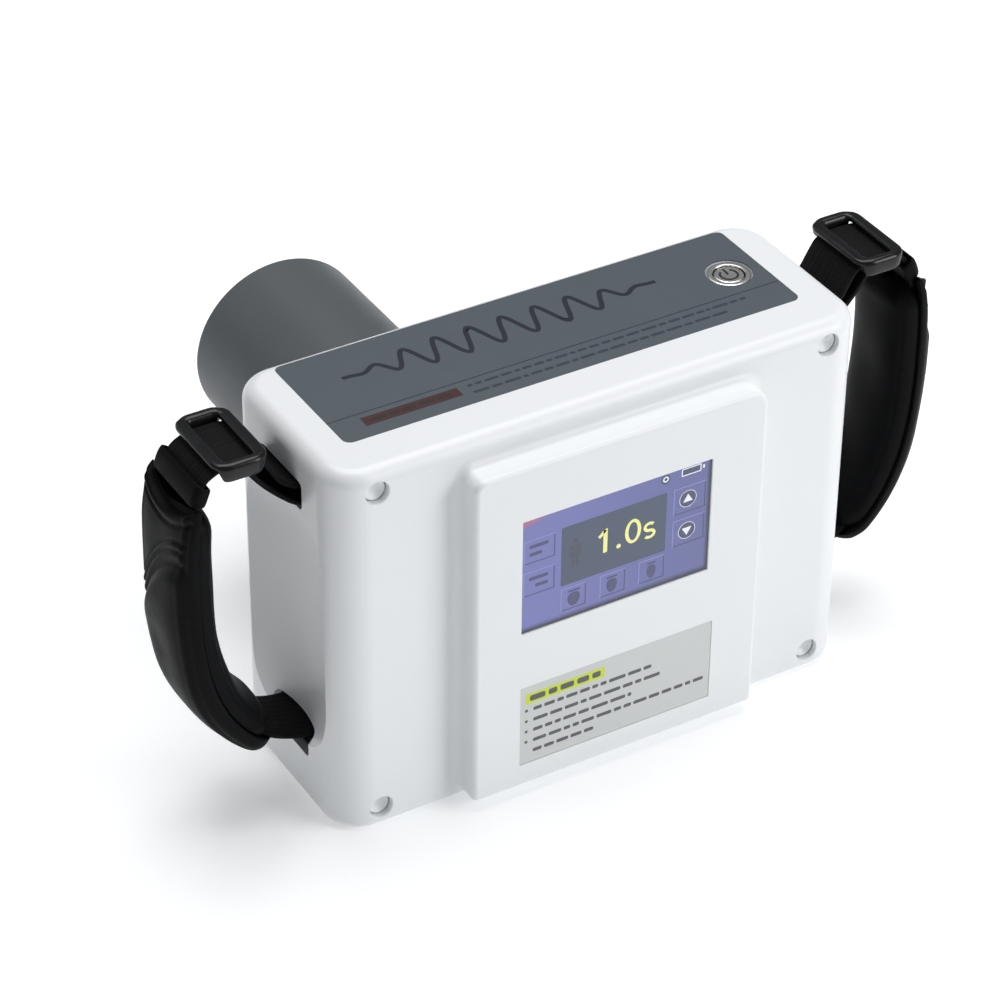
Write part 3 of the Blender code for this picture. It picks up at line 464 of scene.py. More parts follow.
def scoop_form(name, side, extra, steps):
    """Upright barrel: straight in the middle, elliptical shoulders, cut into a side wall."""
    full = (SCOOP_HALF_W ** 2 + SCOOP_DEPTH ** 2) / (2 * SCOOP_DEPTH)
    rest = full - SCOOP_DEPTH
    a = np.linspace(0.0, np.pi / 2, 18)
    radius = rest + (SCOOP_DEPTH + extra) * np.cos(a)
    height = SCOOP_STRAIGHT + (SCOOP_HALF_H - SCOOP_STRAIGHT + extra) * np.sin(a)
    radius = np.concatenate(((0.0,), radius[::-1], radius, (0.0,)))
    height = np.concatenate((height[-1:], height[::-1], -height, -height[-1:]))
    x = side * (CASE_HALF_W + rest)
    return turned(name, (x, 0.0, CASE_H / 2), 2, np.column_stack((radius, height)), steps=steps)


rear_case = case_form("rear_shell", white_abs)
carve(rear_case, "UNION", plate_form("plate"))
room = block("room", (WALL - CASE_HALF_W, WALL - CASE_HALF_D, WALL),
             (CASE_HALF_W - WALL, CASE_HALF_D - WALL, CASE_H - WALL), radius=CASE_CORNER - WALL)
carve(room, "UNION", block("case_mouth", (CASE_MOUTH[0][0], 15.0, CASE_MOUTH[0][1]),
                           (CASE_MOUTH[1][0], 40.0, CASE_MOUTH[1][1]), axis=1, radius=5.0))
carve(room, "DIFFERENCE", scoop_form("back_left", -1, WALL, 96), scoop_form("back_right", 1, WALL, 96))
plate_room = block("plate_room", (WALL - PLATE_HALF_W, PLATE_Y + WALL, PLATE_Z[0] + WALL),
                   (PLATE_HALF_W - WALL, WALL - CASE_HALF_D + 1.0, PLATE_Z[1] - WALL), axis=1, radius=2.5)
carve(rear_case, "DIFFERENCE", room, block("cover_side", (-100, PARTING_Y, -20), (100, 60, 140)), plate_room)
cutters = []
for side in (-1, 1):
    cutters.append(scoop_form(f"scoop_{side}", side, 0.0, 240))
    near, far = sorted(side * x for x in SLOT_X)
    for z0, z1 in SLOTS_Z:
        cutters.append(block(f"slot_{side}_{z0}", (near, -SLOT_HALF_Y, z0), (far, SLOT_HALF_Y, z1),
                             axis=0, radius=1.5))
carve(rear_case, "DIFFERENCE", *cutters)
a = np.linspace(0.0, np.pi / 2, 7)
front = -CASE_HALF_D
mouth = np.column_stack((WELL_R + WELL_FLARE * (1 - np.cos(a)), front + WELL_FLARE * (1 - np.sin(a))))
well = [(0.0, front - 6.0), (WELL_R + WELL_FLARE, front - 6.0), *mouth[::-1], (WELL_R, front + WELL_DEPTH),
        (0.0, front + WELL_DEPTH)]
cutters = [turned(f"well_{x}_{z}", (x, 0.0, z), 1, well, steps=48)
           for x in (-SCREW_X, SCREW_X) for z in SCREW_Z]
cutters.append(block("window", (WINDOW[0][0], PLATE_Y - PROUD, WINDOW[0][1]),
                     (WINDOW[1][0], -28.0, WINDOW[1][1]), axis=1, radius=0.3, flare=0.35, flare_at=PLATE_Y))
cutters.append(block("info_bed", (INFO[0][0], PLATE_Y - PROUD, INFO[0][1]),
                     (INFO[1][0], PLATE_Y + BED, INFO[1][1]), axis=1, radius=0.4))
cutters.append(block("label_bed", (*TOP_LABEL[0], CASE_H - BED), (*TOP_LABEL[1], CASE_H + PROUD), radius=2.5))
(seat_r, seat_deep), (bore_r, bore_deep) = BUTTON_SEAT
seat = [(0.0, CASE_H + PROUD), (seat_r, CASE_H + PROUD), (seat_r, CASE_H - seat_deep),
        (bore_r, CASE_H - seat_deep), (bore_r, CASE_H - bore_deep), (0.0, CASE_H - bore_deep)]
cutters.append(turned("button_seat", (*BUTTON_XY, 0.0), 2, seat))
carve(rear_case, "DIFFERENCE", *cutters)
hard_surface(rear_case)
belongs(rear_case, "unit", "rear_case")


# ---------------------------------------------------------------- patient's cover
# The thin white shell that closes the casing, with a round hole for the cone, a hole for the charging
# socket and a lip that sits in the casing's mouth. The hairline gap shows behind the top label.

CONE_X = -30.0
CONE_Z = 70.5
CONE_R = 26.8
CHARGE_XZ = (50.0, 16.0)
CHARGE_AT = (CHARGE_XZ[0], 0.0, CHARGE_XZ[1])
CONE_AT = (CONE_X, 0.0, CONE_Z)

cover = case_form("cover_shell", white_abs)
carve(cover, "DIFFERENCE", block("case_side", (-100, -60, -20), (100, PARTING_Y + 0.3, 140)))
lip = block("lip", (-74.8, 24.6, 3.4), (74.8, 28.5, 114.3), axis=1, radius=4.6)
carve(lip, "DIFFERENCE", block("lip_room", (-73.2, 20.0, 5.0), (73.2, PARTING_Y + 0.3, 112.7),
                               axis=1, radius=3.0))
carve(cover, "UNION", lip)
cone_hole = [(0.0, 40.0), (CONE_R + 0.3, 40.0), (CONE_R + 0.3, 15.0), (0.0, 15.0)]
socket_hole = [(0.0, 40.0), (6.3, 40.0), (6.3, CASE_HALF_D), (5.95, CASE_HALF_D - 0.1),
               (5.8, CASE_HALF_D - 0.5), (5.8, 15.0), (0.0, 15.0)]
carve(cover, "DIFFERENCE", turned("cone_hole", CONE_AT, 1, cone_hole, steps=128),
      turned("socket_hole", CHARGE_AT, 1, socket_hole, steps=48))
hard_surface(cover)
belongs(cover, "unit", "front_cover")


# ---------------------------------------------------------------- screws and plugs
# Four zinc-plated screws at the bottom of the wells, each under a plain white plug with a dished face
# set a little below the casing's.

steel = Finish("turned_steel", (0.56, 0.56, 0.57), 0.28, metallic=1.0)
steel.wear(tint=(90.0, 4.0, 0.88, 1.05), rough=(350.0, 4.0, 0.65, 0.22, 0.2),
           relief=(2600.0, 2.0, 0.006, 0.4))


def refinish(finish, *nodes):
    """Put a finish on solids of the frame that are kept as they are."""
    for node in nodes:
        for filled in bpy.data.objects[node].material_slots:
            filled.material = finish.material


refinish(steel, "case_screw_1", "case_screw_2", "case_screw_3", "case_screw_4")
PLUG_FACE = 1.8 - CASE_HALF_D
PLUG_LENGTH = 3.0
DISH_DEPTH = 1.5
a = np.linspace(0.0, np.pi / 2, 6)
dish = np.linspace(0.0, 1.0, 9)
profile = np.concatenate((np.column_stack((2.75 * dish, PLUG_FACE + DISH_DEPTH * (1 - dish ** 2))),
                          np.column_stack((2.85 + 0.3 * np.sin(a), PLUG_FACE + 0.3 * (1 - np.cos(a)))),
                          [(3.15, PLUG_FACE + PLUG_LENGTH), (0.0, PLUG_FACE + PLUG_LENGTH)]))
for number, (x, z) in enumerate([(x, z) for x in (-SCREW_X, SCREW_X) for z in SCREW_Z], start=1):
    plug = hard_surface(turned(f"plug_{number}", (x, 0.0, z), 1, profile, white_abs, steps=48), 40.0)
    belongs(plug, "unit", f"case_plug_{number}")


# ---------------------------------------------------------------- cone
# A grey satin tube of moulded plastic with a thin rounded rim, an inner flange that bears on the
# cover's back and a flat trim ring outside. A lead liner is pressed into its inner end.

grey_cone = Finish("grey_cone", (0.078, 0.088, 0.096), 0.46)
cone_cloud = grey_cone.noise(22.0, 3.0)
grey_cone.tint(cone_cloud, 0.94, 1.07)
grey_cone.wear(rough=(70.0, 4.0, 0.6, 0.40, 0.14), relief=(1500.0, 3.0, 0.6, 0.02, 0.55))

CONE_IN = 24.2
CONE_END = 103.6


def rim(radius_out, radius_in, end, round_out, round_in, steps=8):
    """Outer round, flat land and inner round of a tube's end, from the outside in."""
    a = np.linspace(0.0, np.pi / 2, steps)
    outside = np.column_stack((radius_out - round_out * (1 - np.cos(a)), end - round_out * (1 - np.sin(a))))
    inside = np.column_stack((radius_in + round_in * (1 - np.sin(a)), end - round_in * (1 - np.cos(a))))
    return np.concatenate((outside, inside))


profile = np.concatenate(([(CONE_IN, 24.0), (31.0, 24.0), (31.0, 27.0), (CONE_R, 27.0), (CONE_R, 60.0)],
                          rim(CONE_R, CONE_IN, CONE_END, 1.1, 0.8), [(CONE_IN, 60.0)]))
cone = hard_surface(turned("cone_shell", CONE_AT, 1, profile[::-1], grey_cone, steps=180), 40.0)
belongs(cone, "unit", "cone_tube")

profile = np.concatenate(([(CONE_R + 0.4, CASE_HALF_D + 0.05), (CONE_R + 3.2, CASE_HALF_D + 0.05)],
                          rim(CONE_R + 3.2, CONE_R + 0.4, 31.6, 0.9, 0.3)))
cone_ring = hard_surface(turned("cone_trim_ring", CONE_AT, 1, profile[::-1], grey_cone, steps=180), 40.0)
belongs(cone_ring, "unit", "cone_ring")


# ---------------------------------------------------------------- charging socket
# A black moulded barrel jack with a steel centre pin, set just under the cover's face.

black_gloss = Finish("black_gloss", (0.0050, 0.0052, 0.0058), 0.24)
black_gloss.put("Specular IOR Level", 0.34)
black_gloss.wear(tint=(60.0, 3.0, 0.85, 1.2), rough=(110.0, 5.0, 0.7, 0.17, 0.16),
                 relief=(900.0, 2.0, 0.012, 0.5))

JACK_R = 5.4
JACK_BORE = 2.8
profile = np.concatenate(([(0.0, 21.0), (JACK_R, 21.0)],
                          rim(JACK_R, JACK_BORE, CASE_HALF_D - 0.2, 0.5, 0.4, steps=6),
                          [(JACK_BORE, 22.0), (0.0, 22.0)]))
jack = hard_surface(turned("charge_jack", CHARGE_AT, 1, profile, black_gloss, steps=64), 35.0)
belongs(jack, "unit", "charge_socket")
pin = [(0.0, 21.6), (0.95, 21.6), (0.95, 27.4), (0.8, 27.8), (0.45, 28.0), (0.0, 28.05)]
jack_pin = hard_surface(turned("charge_pin", CHARGE_AT, 1, pin, steel, steps=32), 35.0)
belongs(jack_pin, "unit")


# ---------------------------------------------------------------- top label
# A blue-grey printed overlay of matt polycarbonate in a shallow bed on the casing's top, with a hole
# for the button. Its print is plain: a wave, a fine line, a dark red bar and rows of short dashes.

label_blue = Finish("label_blue", (0.070, 0.087, 0.103), 0.42)
label_blue.wear(tint=(9.0, 2.0, 0.92, 1.08), rough=(150.0, 4.0, 0.6, 0.36, 0.12),
                relief=(3200.0, 2.0, 0.006, 0.5))

ink_navy = Finish("ink_navy", (0.0065, 0.0095, 0.020), 0.42).wear(tint=(300.0, 3.0, 0.85, 1.2))
ink_line = Finish("ink_line", (0.024, 0.034, 0.055), 0.42).wear(tint=(300.0, 3.0, 0.85, 1.2))
ink_red = Finish("ink_red", (0.048, 0.014, 0.014), 0.4).wear(tint=(160.0, 3.0, 0.92, 1.08))
ink_red_dark = Finish("ink_red_dark", (0.024, 0.009, 0.009), 0.42).wear(tint=(300.0, 3.0, 0.85, 1.15))


def printed(name, shapes, place, thick=0.03):
    """Thin raised ink. Each shape is (finish, outline) or (finish, outer, inner) in the plane of the
    label; `place` takes (n, 2) points and a height to space. Each becomes a closed prism or washer."""
    points, faces, owners, finishes, start = [], [], [], [], 0
    for finish, *outlines in shapes:
        if finish not in finishes:
            finishes.append(finish)
        count = len(outlines[0])
        levels = [place(outlines[0], -thick), place(outlines[0], thick)]
        if len(outlines) == 2:
            levels += [place(outlines[1], thick), place(outlines[1], -thick)]
            own = quads(4, count, wrap_rows=True).tolist()
        else:
            own = quads(2, count).tolist() + [list(range(count))[::-1], list(range(count, 2 * count))]
        points.append(np.concatenate(levels))
        faces += [[corner + start for corner in f] for f in own]
        owners += [finishes.index(finish)] * len(own)
        start += len(points[-1])
    mesh = solid_mesh(name, np.concatenate(points), faces, merge=False)
    mesh.polygons.foreach_set("material_index", owners)
    faces_out(mesh)
    return put_in(name, mesh, *finishes)


def flat_on(axis, level, outward=1, middle=(0.0, 0.0)):
    """A `place` for printed(): across `axis` at a level, with height counted outward."""
    return lambda points, height: np.insert(points + np.array(middle), axis, level + outward * height, axis=1)


def bar(x0, x1, y0, y1, radius=0.15):
    """A rounded rectangle between two corners."""
    radius = min(radius, (x1 - x0) / 2.01, (y1 - y0) / 2.01)
    return rounded_rectangle((x1 - x0) / 2, (y1 - y0) / 2, radius, 3) + ((x0 + x1) / 2, (y0 + y1) / 2)


def stroke(path, width):
    """Outline of a line of constant width: its points shifted to the left, then back on the right."""
    path = np.asarray(path, float)
    along = np.gradient(path, axis=0)
    along /= np.linalg.norm(along, axis=1)[:, None]
    side = np.column_stack((-along[:, 1], along[:, 0])) * width / 2
    return np.concatenate((path + side, (path - side)[::-1]))


def disc(x, y, radius, steps=24, tall=1.0):
    """A circle, or an ellipse where `tall` isn't 1."""
    angle = np.linspace(0.0, 2 * np.pi, steps, endpoint=False)
    return np.column_stack((x + radius * np.cos(angle), y + radius * tall * np.sin(angle)))


def dashes(finish, x0, x1, y, height, seed, shortest=1.2, longest=5.0, space=0.8):
    """A row of short bars of uneven length, like greeked print."""
    rng = np.random.default_rng(seed)
    lengths = rng.uniform(shortest, longest, 80)
    starts = x0 + np.concatenate(((0.0,), np.cumsum(lengths + space)[:-1]))
    ends = np.minimum(starts + lengths, x1)
    keep = starts < x1 - 0.6
    return [(finish, bar(a, b, y - height / 2, y + height / 2, height * 0.3))
            for a, b in zip(starts[keep], ends[keep])]


LABEL_FACE = CASE_H - 0.2
BED_GAP = 0.12
BED_LIFT = 0.02
top_label = block("top_overlay",
                  (TOP_LABEL[0][0] + BED_GAP, TOP_LABEL[0][1] + BED_GAP, CASE_H - BED + BED_LIFT),
                  (TOP_LABEL[1][0] - BED_GAP, TOP_LABEL[1][1] - BED_GAP, LABEL_FACE), radius=2.4, steps=12)
label_hole = [(0.0, 120.0), (BUTTON_SEAT[0][0], 120.0), (BUTTON_SEAT[0][0], 110.0), (0.0, 110.0)]
carve(top_label, "DIFFERENCE", turned("label_hole", (*BUTTON_XY, 0.0), 2, label_hole, steps=64))
top_label.data.materials.clear()
top_label.data.materials.append(label_blue.material)
hard_surface(top_label)
belongs(top_label, "unit", "top_label")

WAVE_MID = (-8.0, 13.0)
WAVE_LENGTH = 10.4
wave_x = np.linspace(-57.0, 41.0, 420)
from_mid = wave_x - WAVE_MID[0]
wave_y = WAVE_MID[1] + 5.4 * np.exp(-(from_mid / 38.0) ** 6) * np.sin(2 * np.pi * from_mid / WAVE_LENGTH)
print_top = [(ink_navy, stroke(np.column_stack((wave_x, wave_y)), 1.45)),
             (ink_line, bar(-70.5, 70.5, -3.85, -3.4, 0.1)),
             (ink_red, bar(-62.0, -33.0, -9.6, -5.7, 0.2))]
print_top += dashes(ink_line, -30.0, 58.0, -6.4, 1.05, 3)
print_top += dashes(ink_line, -30.0, 50.5, -9.8, 1.05, 4)


on_top = flat_on(2, LABEL_FACE)
top_print = printed("top_print", print_top, on_top, 0.02)
belongs(top_print, "unit")
on_bar = dashes(ink_red_dark, -60.0, -35.0, -7.65, 1.3, 9, 2.0, 5.5)
red_print = printed("red_bar_print", on_bar, on_top, 0.035)
belongs(red_print, "unit")


# ---------------------------------------------------------------- push button
# A metal push button in the label's hole: a bright bezel, and a sprung cap with a rounded edge and an
# enamelled ring and bar. A nut, spring and micro switch sit under it.

bright_steel = Finish("bright_steel", (0.72, 0.71, 0.69), 0.2, metallic=1.0)
x_mm, y_mm, _ = bright_steel.axes()
from_axis = ((x_mm - BUTTON_XY[0]) ** 2 + (y_mm - BUTTON_XY[1]) ** 2) ** 0.5
rings_cut = bright_steel.node("TexNoise", {"noise_dimensions": "1D"},
                              {"W": from_axis * 9.0, "Scale": 1.0, "Detail": 3.0})
rings_cut = Number(bright_steel, rings_cut.outputs["Fac"])
bright_steel.put("Roughness", 0.16 + rings_cut * 0.22)
bright_steel.bump(rings_cut, 0.012, 0.6)
enamel = Finish("black_enamel", (0.02, 0.02, 0.022), 0.3)
enamel.put("Roughness", 0.24 + enamel.noise(600.0, 3.0) * 0.14)

top = CASE_H - 0.5
BEZEL_R = 6.4
BORE = 4.6
profile = np.concatenate(([(BORE, top - 12.9), (BORE, top - 0.35)],
                          rim(BEZEL_R, BORE, top, 0.7, 0.35, steps=7)[::-1],
                          [(BEZEL_R, top - 1.3), (5.6, top - 1.3), (5.6, top - 14.5), (1.6, top - 14.5),
                           (1.6, top - 12.9)]))
bezel = hard_surface(turned("bezel", (*BUTTON_XY, 0.0), 2, profile[::-1], bright_steel, steps=96), 40.0)
belongs(bezel, "unit", "button_bezel")

CAP_R = 4.3
CAP_EDGE = 0.5
cap_top = top - 0.3
a = np.linspace(0.0, np.pi / 2, 7)
profile = np.concatenate(([(0.0, cap_top - 14.9), (1.3, cap_top - 14.9), (1.3, cap_top - 5.4),
                           (3.4, cap_top - 5.4), (3.4, cap_top - 5.0), (CAP_R, cap_top - 5.0)],
                          np.column_stack((CAP_R - CAP_EDGE * (1 - np.cos(a)),
                                           cap_top - CAP_EDGE * (1 - np.sin(a)))),
                          [(3.2, cap_top), (2.0, cap_top - 0.06), (0.0, cap_top - 0.1)]))
button = hard_surface(turned("button", (*BUTTON_XY, 0.0), 2, profile[::-1], bright_steel, steps=96), 40.0)
belongs(button, "button", "button_cap")


sweep = np.radians(np.linspace(125.0, 415.0, 60))
mark = [(enamel, stroke(np.column_stack((2.5 * np.cos(sweep), 2.5 * np.sin(sweep))), 0.62)),
        (enamel, bar(-0.33, 0.33, 0.3, 3.3, 0.3))]
button_mark = printed("button_mark", mark, flat_on(2, cap_top, 1, BUTTON_XY), 0.04)
belongs(button_mark, "button")


# ---------------------------------------------------------------- display
# A colour display under a cover glass flush in the plate's window. What it shows is painted on the
# glass: a violet ground, a slate panel with the exposure time, two arrow keys and plain key outlines.

GLASS_Y = PLATE_Y + 0.4
glass = Finish("display_glass", (0.20, 0.205, 0.50), 0.16, coat_roughness=0.05, coat_weight=0.5)
x_mm, _, z_mm = glass.axes()
from_left = x_mm + 31.0
violet = glass.mix((from_left * (1.0 / 60.0)).step(0.0, 1.0),
                   (0.165, 0.175, 0.455, 1.0), (0.115, 0.130, 0.335, 1.0))
scan = (z_mm * 9.0).sin() * 0.5 + 0.5
violet = glass.mix(scan * 0.06, violet, (0.10, 0.10, 0.30, 1.0))
red_smear = (1.0 - from_left.step(2.0, 8.5)) * (z_mm - 90.4 + from_left * -0.12).step(0.0, 1.4)
violet = glass.mix(red_smear * 0.75, violet, (0.52, 0.13, 0.17, 1.0))
# Painted shadow: the glass is darkened along its bottom and right edges, where the window's recess shades it.
painted_recess_shadow = (z_mm - 56.1).step(0.0, 2.3) * (28.1 - x_mm).step(0.1, 1.7)
glass.put("Base Color", glass.mix(painted_recess_shadow, (0.008, 0.011, 0.035, 1.0), violet))
glass.put("Roughness", 0.10 + glass.noise(120.0, 4.0, 0.7) * 0.08)
lens = block("display_lens", (WINDOW[0][0] + 0.1, GLASS_Y, WINDOW[0][1] + 0.1),
             (WINDOW[1][0] - 0.1, PLATE_Y + 2.2, WINDOW[1][1] - 0.1), axis=1, radius=0.3)
lens.data.materials.append(glass.material)
hard_surface(lens)
belongs(lens, "unit", "screen_lens")


def lit(name, color, roughness=0.16):
    """A colour of the display's picture, under the same glossy glass, a little uneven as a backlight is."""
    made = Finish(name, color, roughness, coat_roughness=0.05, coat_weight=0.5)
    made.tint(made.noise(80.0, 2.0), 0.94, 1.06)
    made.put("Roughness", roughness - 0.05 + made.noise(120.0, 4.0, 0.7) * 0.08)
    return made


lit_slate = lit("lit_slate", (0.050, 0.072, 0.125))
lit_yellow = lit("lit_yellow", (0.93, 0.90, 0.32))
lit_white = lit("lit_white", (0.86, 0.88, 0.93))
lit_dark = lit("lit_dark", (0.052, 0.060, 0.150))
lit_figure = lit("lit_figure", (0.043, 0.055, 0.085))
lit_pale = lit("lit_pale", (0.235, 0.245, 0.55))


def key(x0, x1, z0, z1):
    """A key's outline: pale on its upper left, dark on its lower right."""
    w = 0.32
    return [(lit_pale, bar(x0, x1, z1 - w, z1, 0.05)), (lit_pale, bar(x0, x0 + w, z0, z1 - w, 0.05)),
            (lit_dark, bar(x0 + w, x1, z0, z0 + w, 0.05)), (lit_dark, bar(x1 - w, x1, z0 + w, z1 - w, 0.05))]


KEYS = ((-30.7, -21.0, 78.6, 86.2), (-30.7, -21.0, 68.0, 75.8), (16.2, 26.4, 77.9, 86.6),
        (16.2, 26.4, 67.4, 76.1), (-18.9, -11.0, 58.9, 66.3), (-6.6, 1.4, 58.9, 66.3),
        (5.7, 13.9, 58.9, 66.3))
KEY_BARS = ((-29.0, -23.0, 83.9), (-29.0, -25.0, 81.4), (-29.0, -23.0, 73.4), (-27.0, -23.0, 70.9))
ARROW_X = 20.8

picture = [(lit_slate, bar(-19.0, 14.0, 67.4, 86.6, 0.5))]
for box in KEYS:
    picture += key(*box)
picture += [(lit_dark, bar(x0, x1, z - 0.55, z + 0.55, 0.5)) for x0, x1, z in KEY_BARS]
over_picture = []
for z, tip in ((82.3, 1.55), (71.8, -1.55)):
    picture += [(lit_dark, disc(ARROW_X, z, 2.55, 40)),
                (lit_white, disc(ARROW_X, z, 2.75, 40), disc(ARROW_X, z, 2.4, 40))]
    arrow = np.array(((-1.55, -tip * 0.62), (1.55, -tip * 0.62), (0.0, tip)))
    over_picture.append((lit_white, arrow + (ARROW_X, z + tip * 0.02)))
for key_x, wide in ((-14.8, 1.9), (-2.8, 1.65), (9.8, 1.4)):
    t = np.linspace(0.0, 2 * np.pi, 40, endpoint=False)
    width = wide * (1 + 0.18 * np.sin(t))
    shield = np.column_stack((key_x + width * np.sign(np.cos(t)) * np.abs(np.cos(t)) ** 0.75,
                              62.0 + 2.2 * np.sin(t)))
    picture += [(lit_dark, shield), (lit_dark, bar(key_x - wide, key_x + wide, 64.5, 65.1, 0.25))]
picture += [(lit_dark, disc(13.4, 91.0, 1.5, 30)), (lit_dark, bar(18.4, 24.7, 90.1, 92.6, 0.2))]
over_picture += [(lit_white, disc(13.4, 91.1, 0.95, 24), disc(13.4, 91.1, 0.5, 24)),
                 (lit_white, bar(18.4, 24.7, 90.1, 92.6, 0.3), bar(18.75, 24.35, 90.45, 92.25, 0.1)),
                 (lit_white, bar(25.2, 25.8, 90.8, 91.9, 0.1))]

FIGURE_X = -14.7
half_body = np.array(((0.9, 79.9), (1.75, 79.7), (1.75, 75.9), (1.1, 75.9), (1.1, 72.8), (0.25, 72.8),
                      (0.25, 75.8)))
body = np.concatenate((half_body * (-1, 1), half_body[::-1])) + (FIGURE_X, 0.0)
over_picture += [(lit_figure, body), (lit_figure, disc(FIGURE_X, 81.1, 0.85))]
over_picture += [(lit_yellow, stroke([(-7.3, 79.3), (-6.3, 80.1), (-5.3, 81.3)], 1.0)),
                 (lit_yellow, bar(-5.9, -4.6, 73.8, 81.6, 0.2)), (lit_yellow, disc(-1.0, 74.35, 0.72)),
                 (lit_yellow, disc(3.5, 77.7, 2.55, 48, 1.55), disc(3.5, 77.7, 1.45, 48, 2.05))]
LETTER_X = 8.75
bend = np.radians(35.0 + 235.0 * np.linspace(0.0, 1.0, 40))
upper = np.column_stack((LETTER_X + 1.45 * np.cos(bend), 77.25 + 1.15 * np.sin(bend)))
bend = np.radians(90.0 - 235.0 * np.linspace(0.0, 1.0, 40))
lower = np.column_stack((LETTER_X + 1.5 * np.cos(bend), 74.95 + 1.15 * np.sin(bend)))
over_picture.append((lit_yellow, stroke(np.concatenate((upper, lower[1:])), 0.95)))

on_glass = flat_on(1, GLASS_Y, -1)
display_picture = printed("display_picture", picture, on_glass, 0.02)
display_marks = printed("display_marks", over_picture, on_glass, 0.035)
for piece in (display_picture, display_marks):
    belongs(piece, "unit")


# ---------------------------------------------------------------- information label
# A pale grey polyester label in a shallow bed on the plate. Its print is plain: a yellow-green bar
# and five rows of short grey dashes.

label_grey = Finish("label_grey", (0.585, 0.600, 0.590), 0.4)
label_grey.wear(tint=(25.0, 3.0, 0.96, 1.04), rough=(200.0, 4.0, 0.33, 0.14),
                relief=(2800.0, 2.0, 0.005, 0.5))
ink_lime = Finish("ink_lime", (0.58, 0.68, 0.035), 0.42).wear(tint=(300.0, 3.0, 0.95, 1.05))
ink_grey = Finish("ink_grey", (0.085, 0.088, 0.095), 0.45).wear(tint=(900.0, 3.0, 0.7, 1.5))

INFO_FACE = PLATE_Y + 0.1
info_label = block("info_sticker", (INFO[0][0] + BED_GAP, INFO_FACE, INFO[0][1] + BED_GAP),
                   (INFO[1][0] - BED_GAP, PLATE_Y + BED - BED_LIFT, INFO[1][1] - BED_GAP), axis=1, radius=0.5)
info_label.data.materials.append(label_grey.material)
hard_surface(info_label)
belongs(info_label, "unit", "info_label")


info = [(ink_lime, bar(-29.5, -4.3, 31.4, 34.9, 0.1))]
for row, (z, x1) in enumerate(((29.2, 11.0), (25.5, 15.0), (21.9, 4.7), (18.3, 28.6), (14.7, -7.5))):
    info += dashes(ink_grey, -27.0, x1, z, 1.15, 20 + row, 1.6, 5.4)
    if row < 4:
        info.append((ink_grey, disc(-29.2, z, 0.5, 12)))
on_info = flat_on(1, INFO_FACE, -1)
info_print = printed("info_print", info, on_info, 0.02)
heading_row = dashes(ink_grey, -28.2, -5.6, 33.15, 1.9, 31, 2.6, 5.2, 1.0)
heading = printed("info_heading", heading_row, on_info, 0.035)
for piece in (info_print, heading):
    belongs(piece, "unit")


# ---------------------------------------------------------------- strap webbing
# Flat black nylon webbing, 20 mm wide, one piece a side: looped round a steel pin behind each slot,
# through the slider at the shoulder and inside the padded sleeve.

webbing = Finish("black_webbing", (0.0060, 0.0061, 0.0066), 0.62)
webbing.put("Specular IOR Level", 0.08)
run_mm, across_mm, _ = webbing.axes(webbing.node("UVMap").outputs["UV"])
weave = (run_mm * 3.4 + across_mm * 1.9).sin() * (run_mm * 3.4 - across_mm * 1.9).sin() * 0.5 + 0.5
rib = (across_mm * 2.85).sin() * 0.5 + 0.5
webbing.tint(weave * 0.6 + webbing.noise(260.0, 3.0) * 0.6, 0.6, 1.7)
webbing.put("Roughness", 0.5 + weave * 0.18 + webbing.noise(900.0, 2.0) * 0.12)
webbing.bump(weave * 0.7 + rib * 0.5, 0.16, 0.8)

SIDES = ((1, "right"), (-1, "left"))
UPPER_PIN = (76.0, 103.0)
LOWER_PIN = (72.5, 20.0)
LOOP_R = 2.5
SLIDER_X = 99.5
WEBBING_HALF = 10.0
SHOULDER = [(97.0, 118.3), (103.5, 118.3)]
OUTER_BEND = [(106.0, 117.7), (109.3, 115.6), (111.6, 110.8), (113.0, 104.0), (113.7, 95.0), (113.9, 85.0),
              (113.8, 75.0), (112.9, 64.0), (110.8, 53.0), (106.9, 42.5), (101.0, 33.6), (93.6, 27.2),
              (86.5, 23.8), (80.5, 22.5)]


def smooth_path(points, per_span=12):
    """Points on a Catmull-Rom curve: (2b + (c-a)t + (2a-5b+4c-d)t^2 + (3b-a-3c+d)t^3) / 2."""
    p = np.asarray(points, float)
    p = np.concatenate(([2 * p[0] - p[1]], p, [2 * p[-1] - p[-2]]))
    a, b, c, d = (p[i:len(p) - 3 + i, None, :] for i in range(4))
    t = (np.arange(per_span) / per_span)[None, :, None]
    squared = (2 * a - 5 * b + 4 * c - d) * t ** 2
    cubed = (3 * b - a - 3 * c + d) * t ** 3
    run = 0.5 * (2 * b + (c - a) * t + squared + cubed)
    return np.concatenate((run.reshape(-1, 2), p[-2:-1]))


def arc(centre, radius, start, stop, count=24):
    """Points on a circle between two angles, in degrees."""
    angle = np.radians(np.linspace(start, stop, count))
    return np.column_stack((centre[0] + radius * np.cos(angle), centre[1] + radius * np.sin(angle)))


class Route:
    """A line in the plane of X and Z on the +X side, read by the length run along it."""

    def __init__(self, points):
        self.points = points
        self.run = np.concatenate(((0.0,), np.cumsum(np.linalg.norm(np.diff(points, axis=0), axis=1))))
        along = np.gradient(points, axis=0)
        along /= np.linalg.norm(along, axis=1)[:, None]
        self.out = np.column_stack((-along[:, 1], along[:, 0]))

    def at_height(self, z):
        """Run where the line, going down, comes to a height."""
        return float(np.interp(-z, -self.points[:, 1], self.run))

    def place(self, run, across, out, side):
        """Points at (x(run) + out * nx, across, z(run) + out * nz), mirrored to the given side."""
        x, z = (np.interp(run, self.run, self.points[:, i]) + out * np.interp(run, self.run, self.out[:, i])
                for i in (0, 1))
        return np.stack(np.broadcast_arrays(side * x, across, z), -1)


def girth_of(across, out):
    """Length round each ring of a grid."""
    steps = np.hypot(np.diff(across, axis=1), np.diff(out, axis=1))
    return np.concatenate((np.zeros((len(across), 1)), np.cumsum(steps, axis=1)), axis=1)


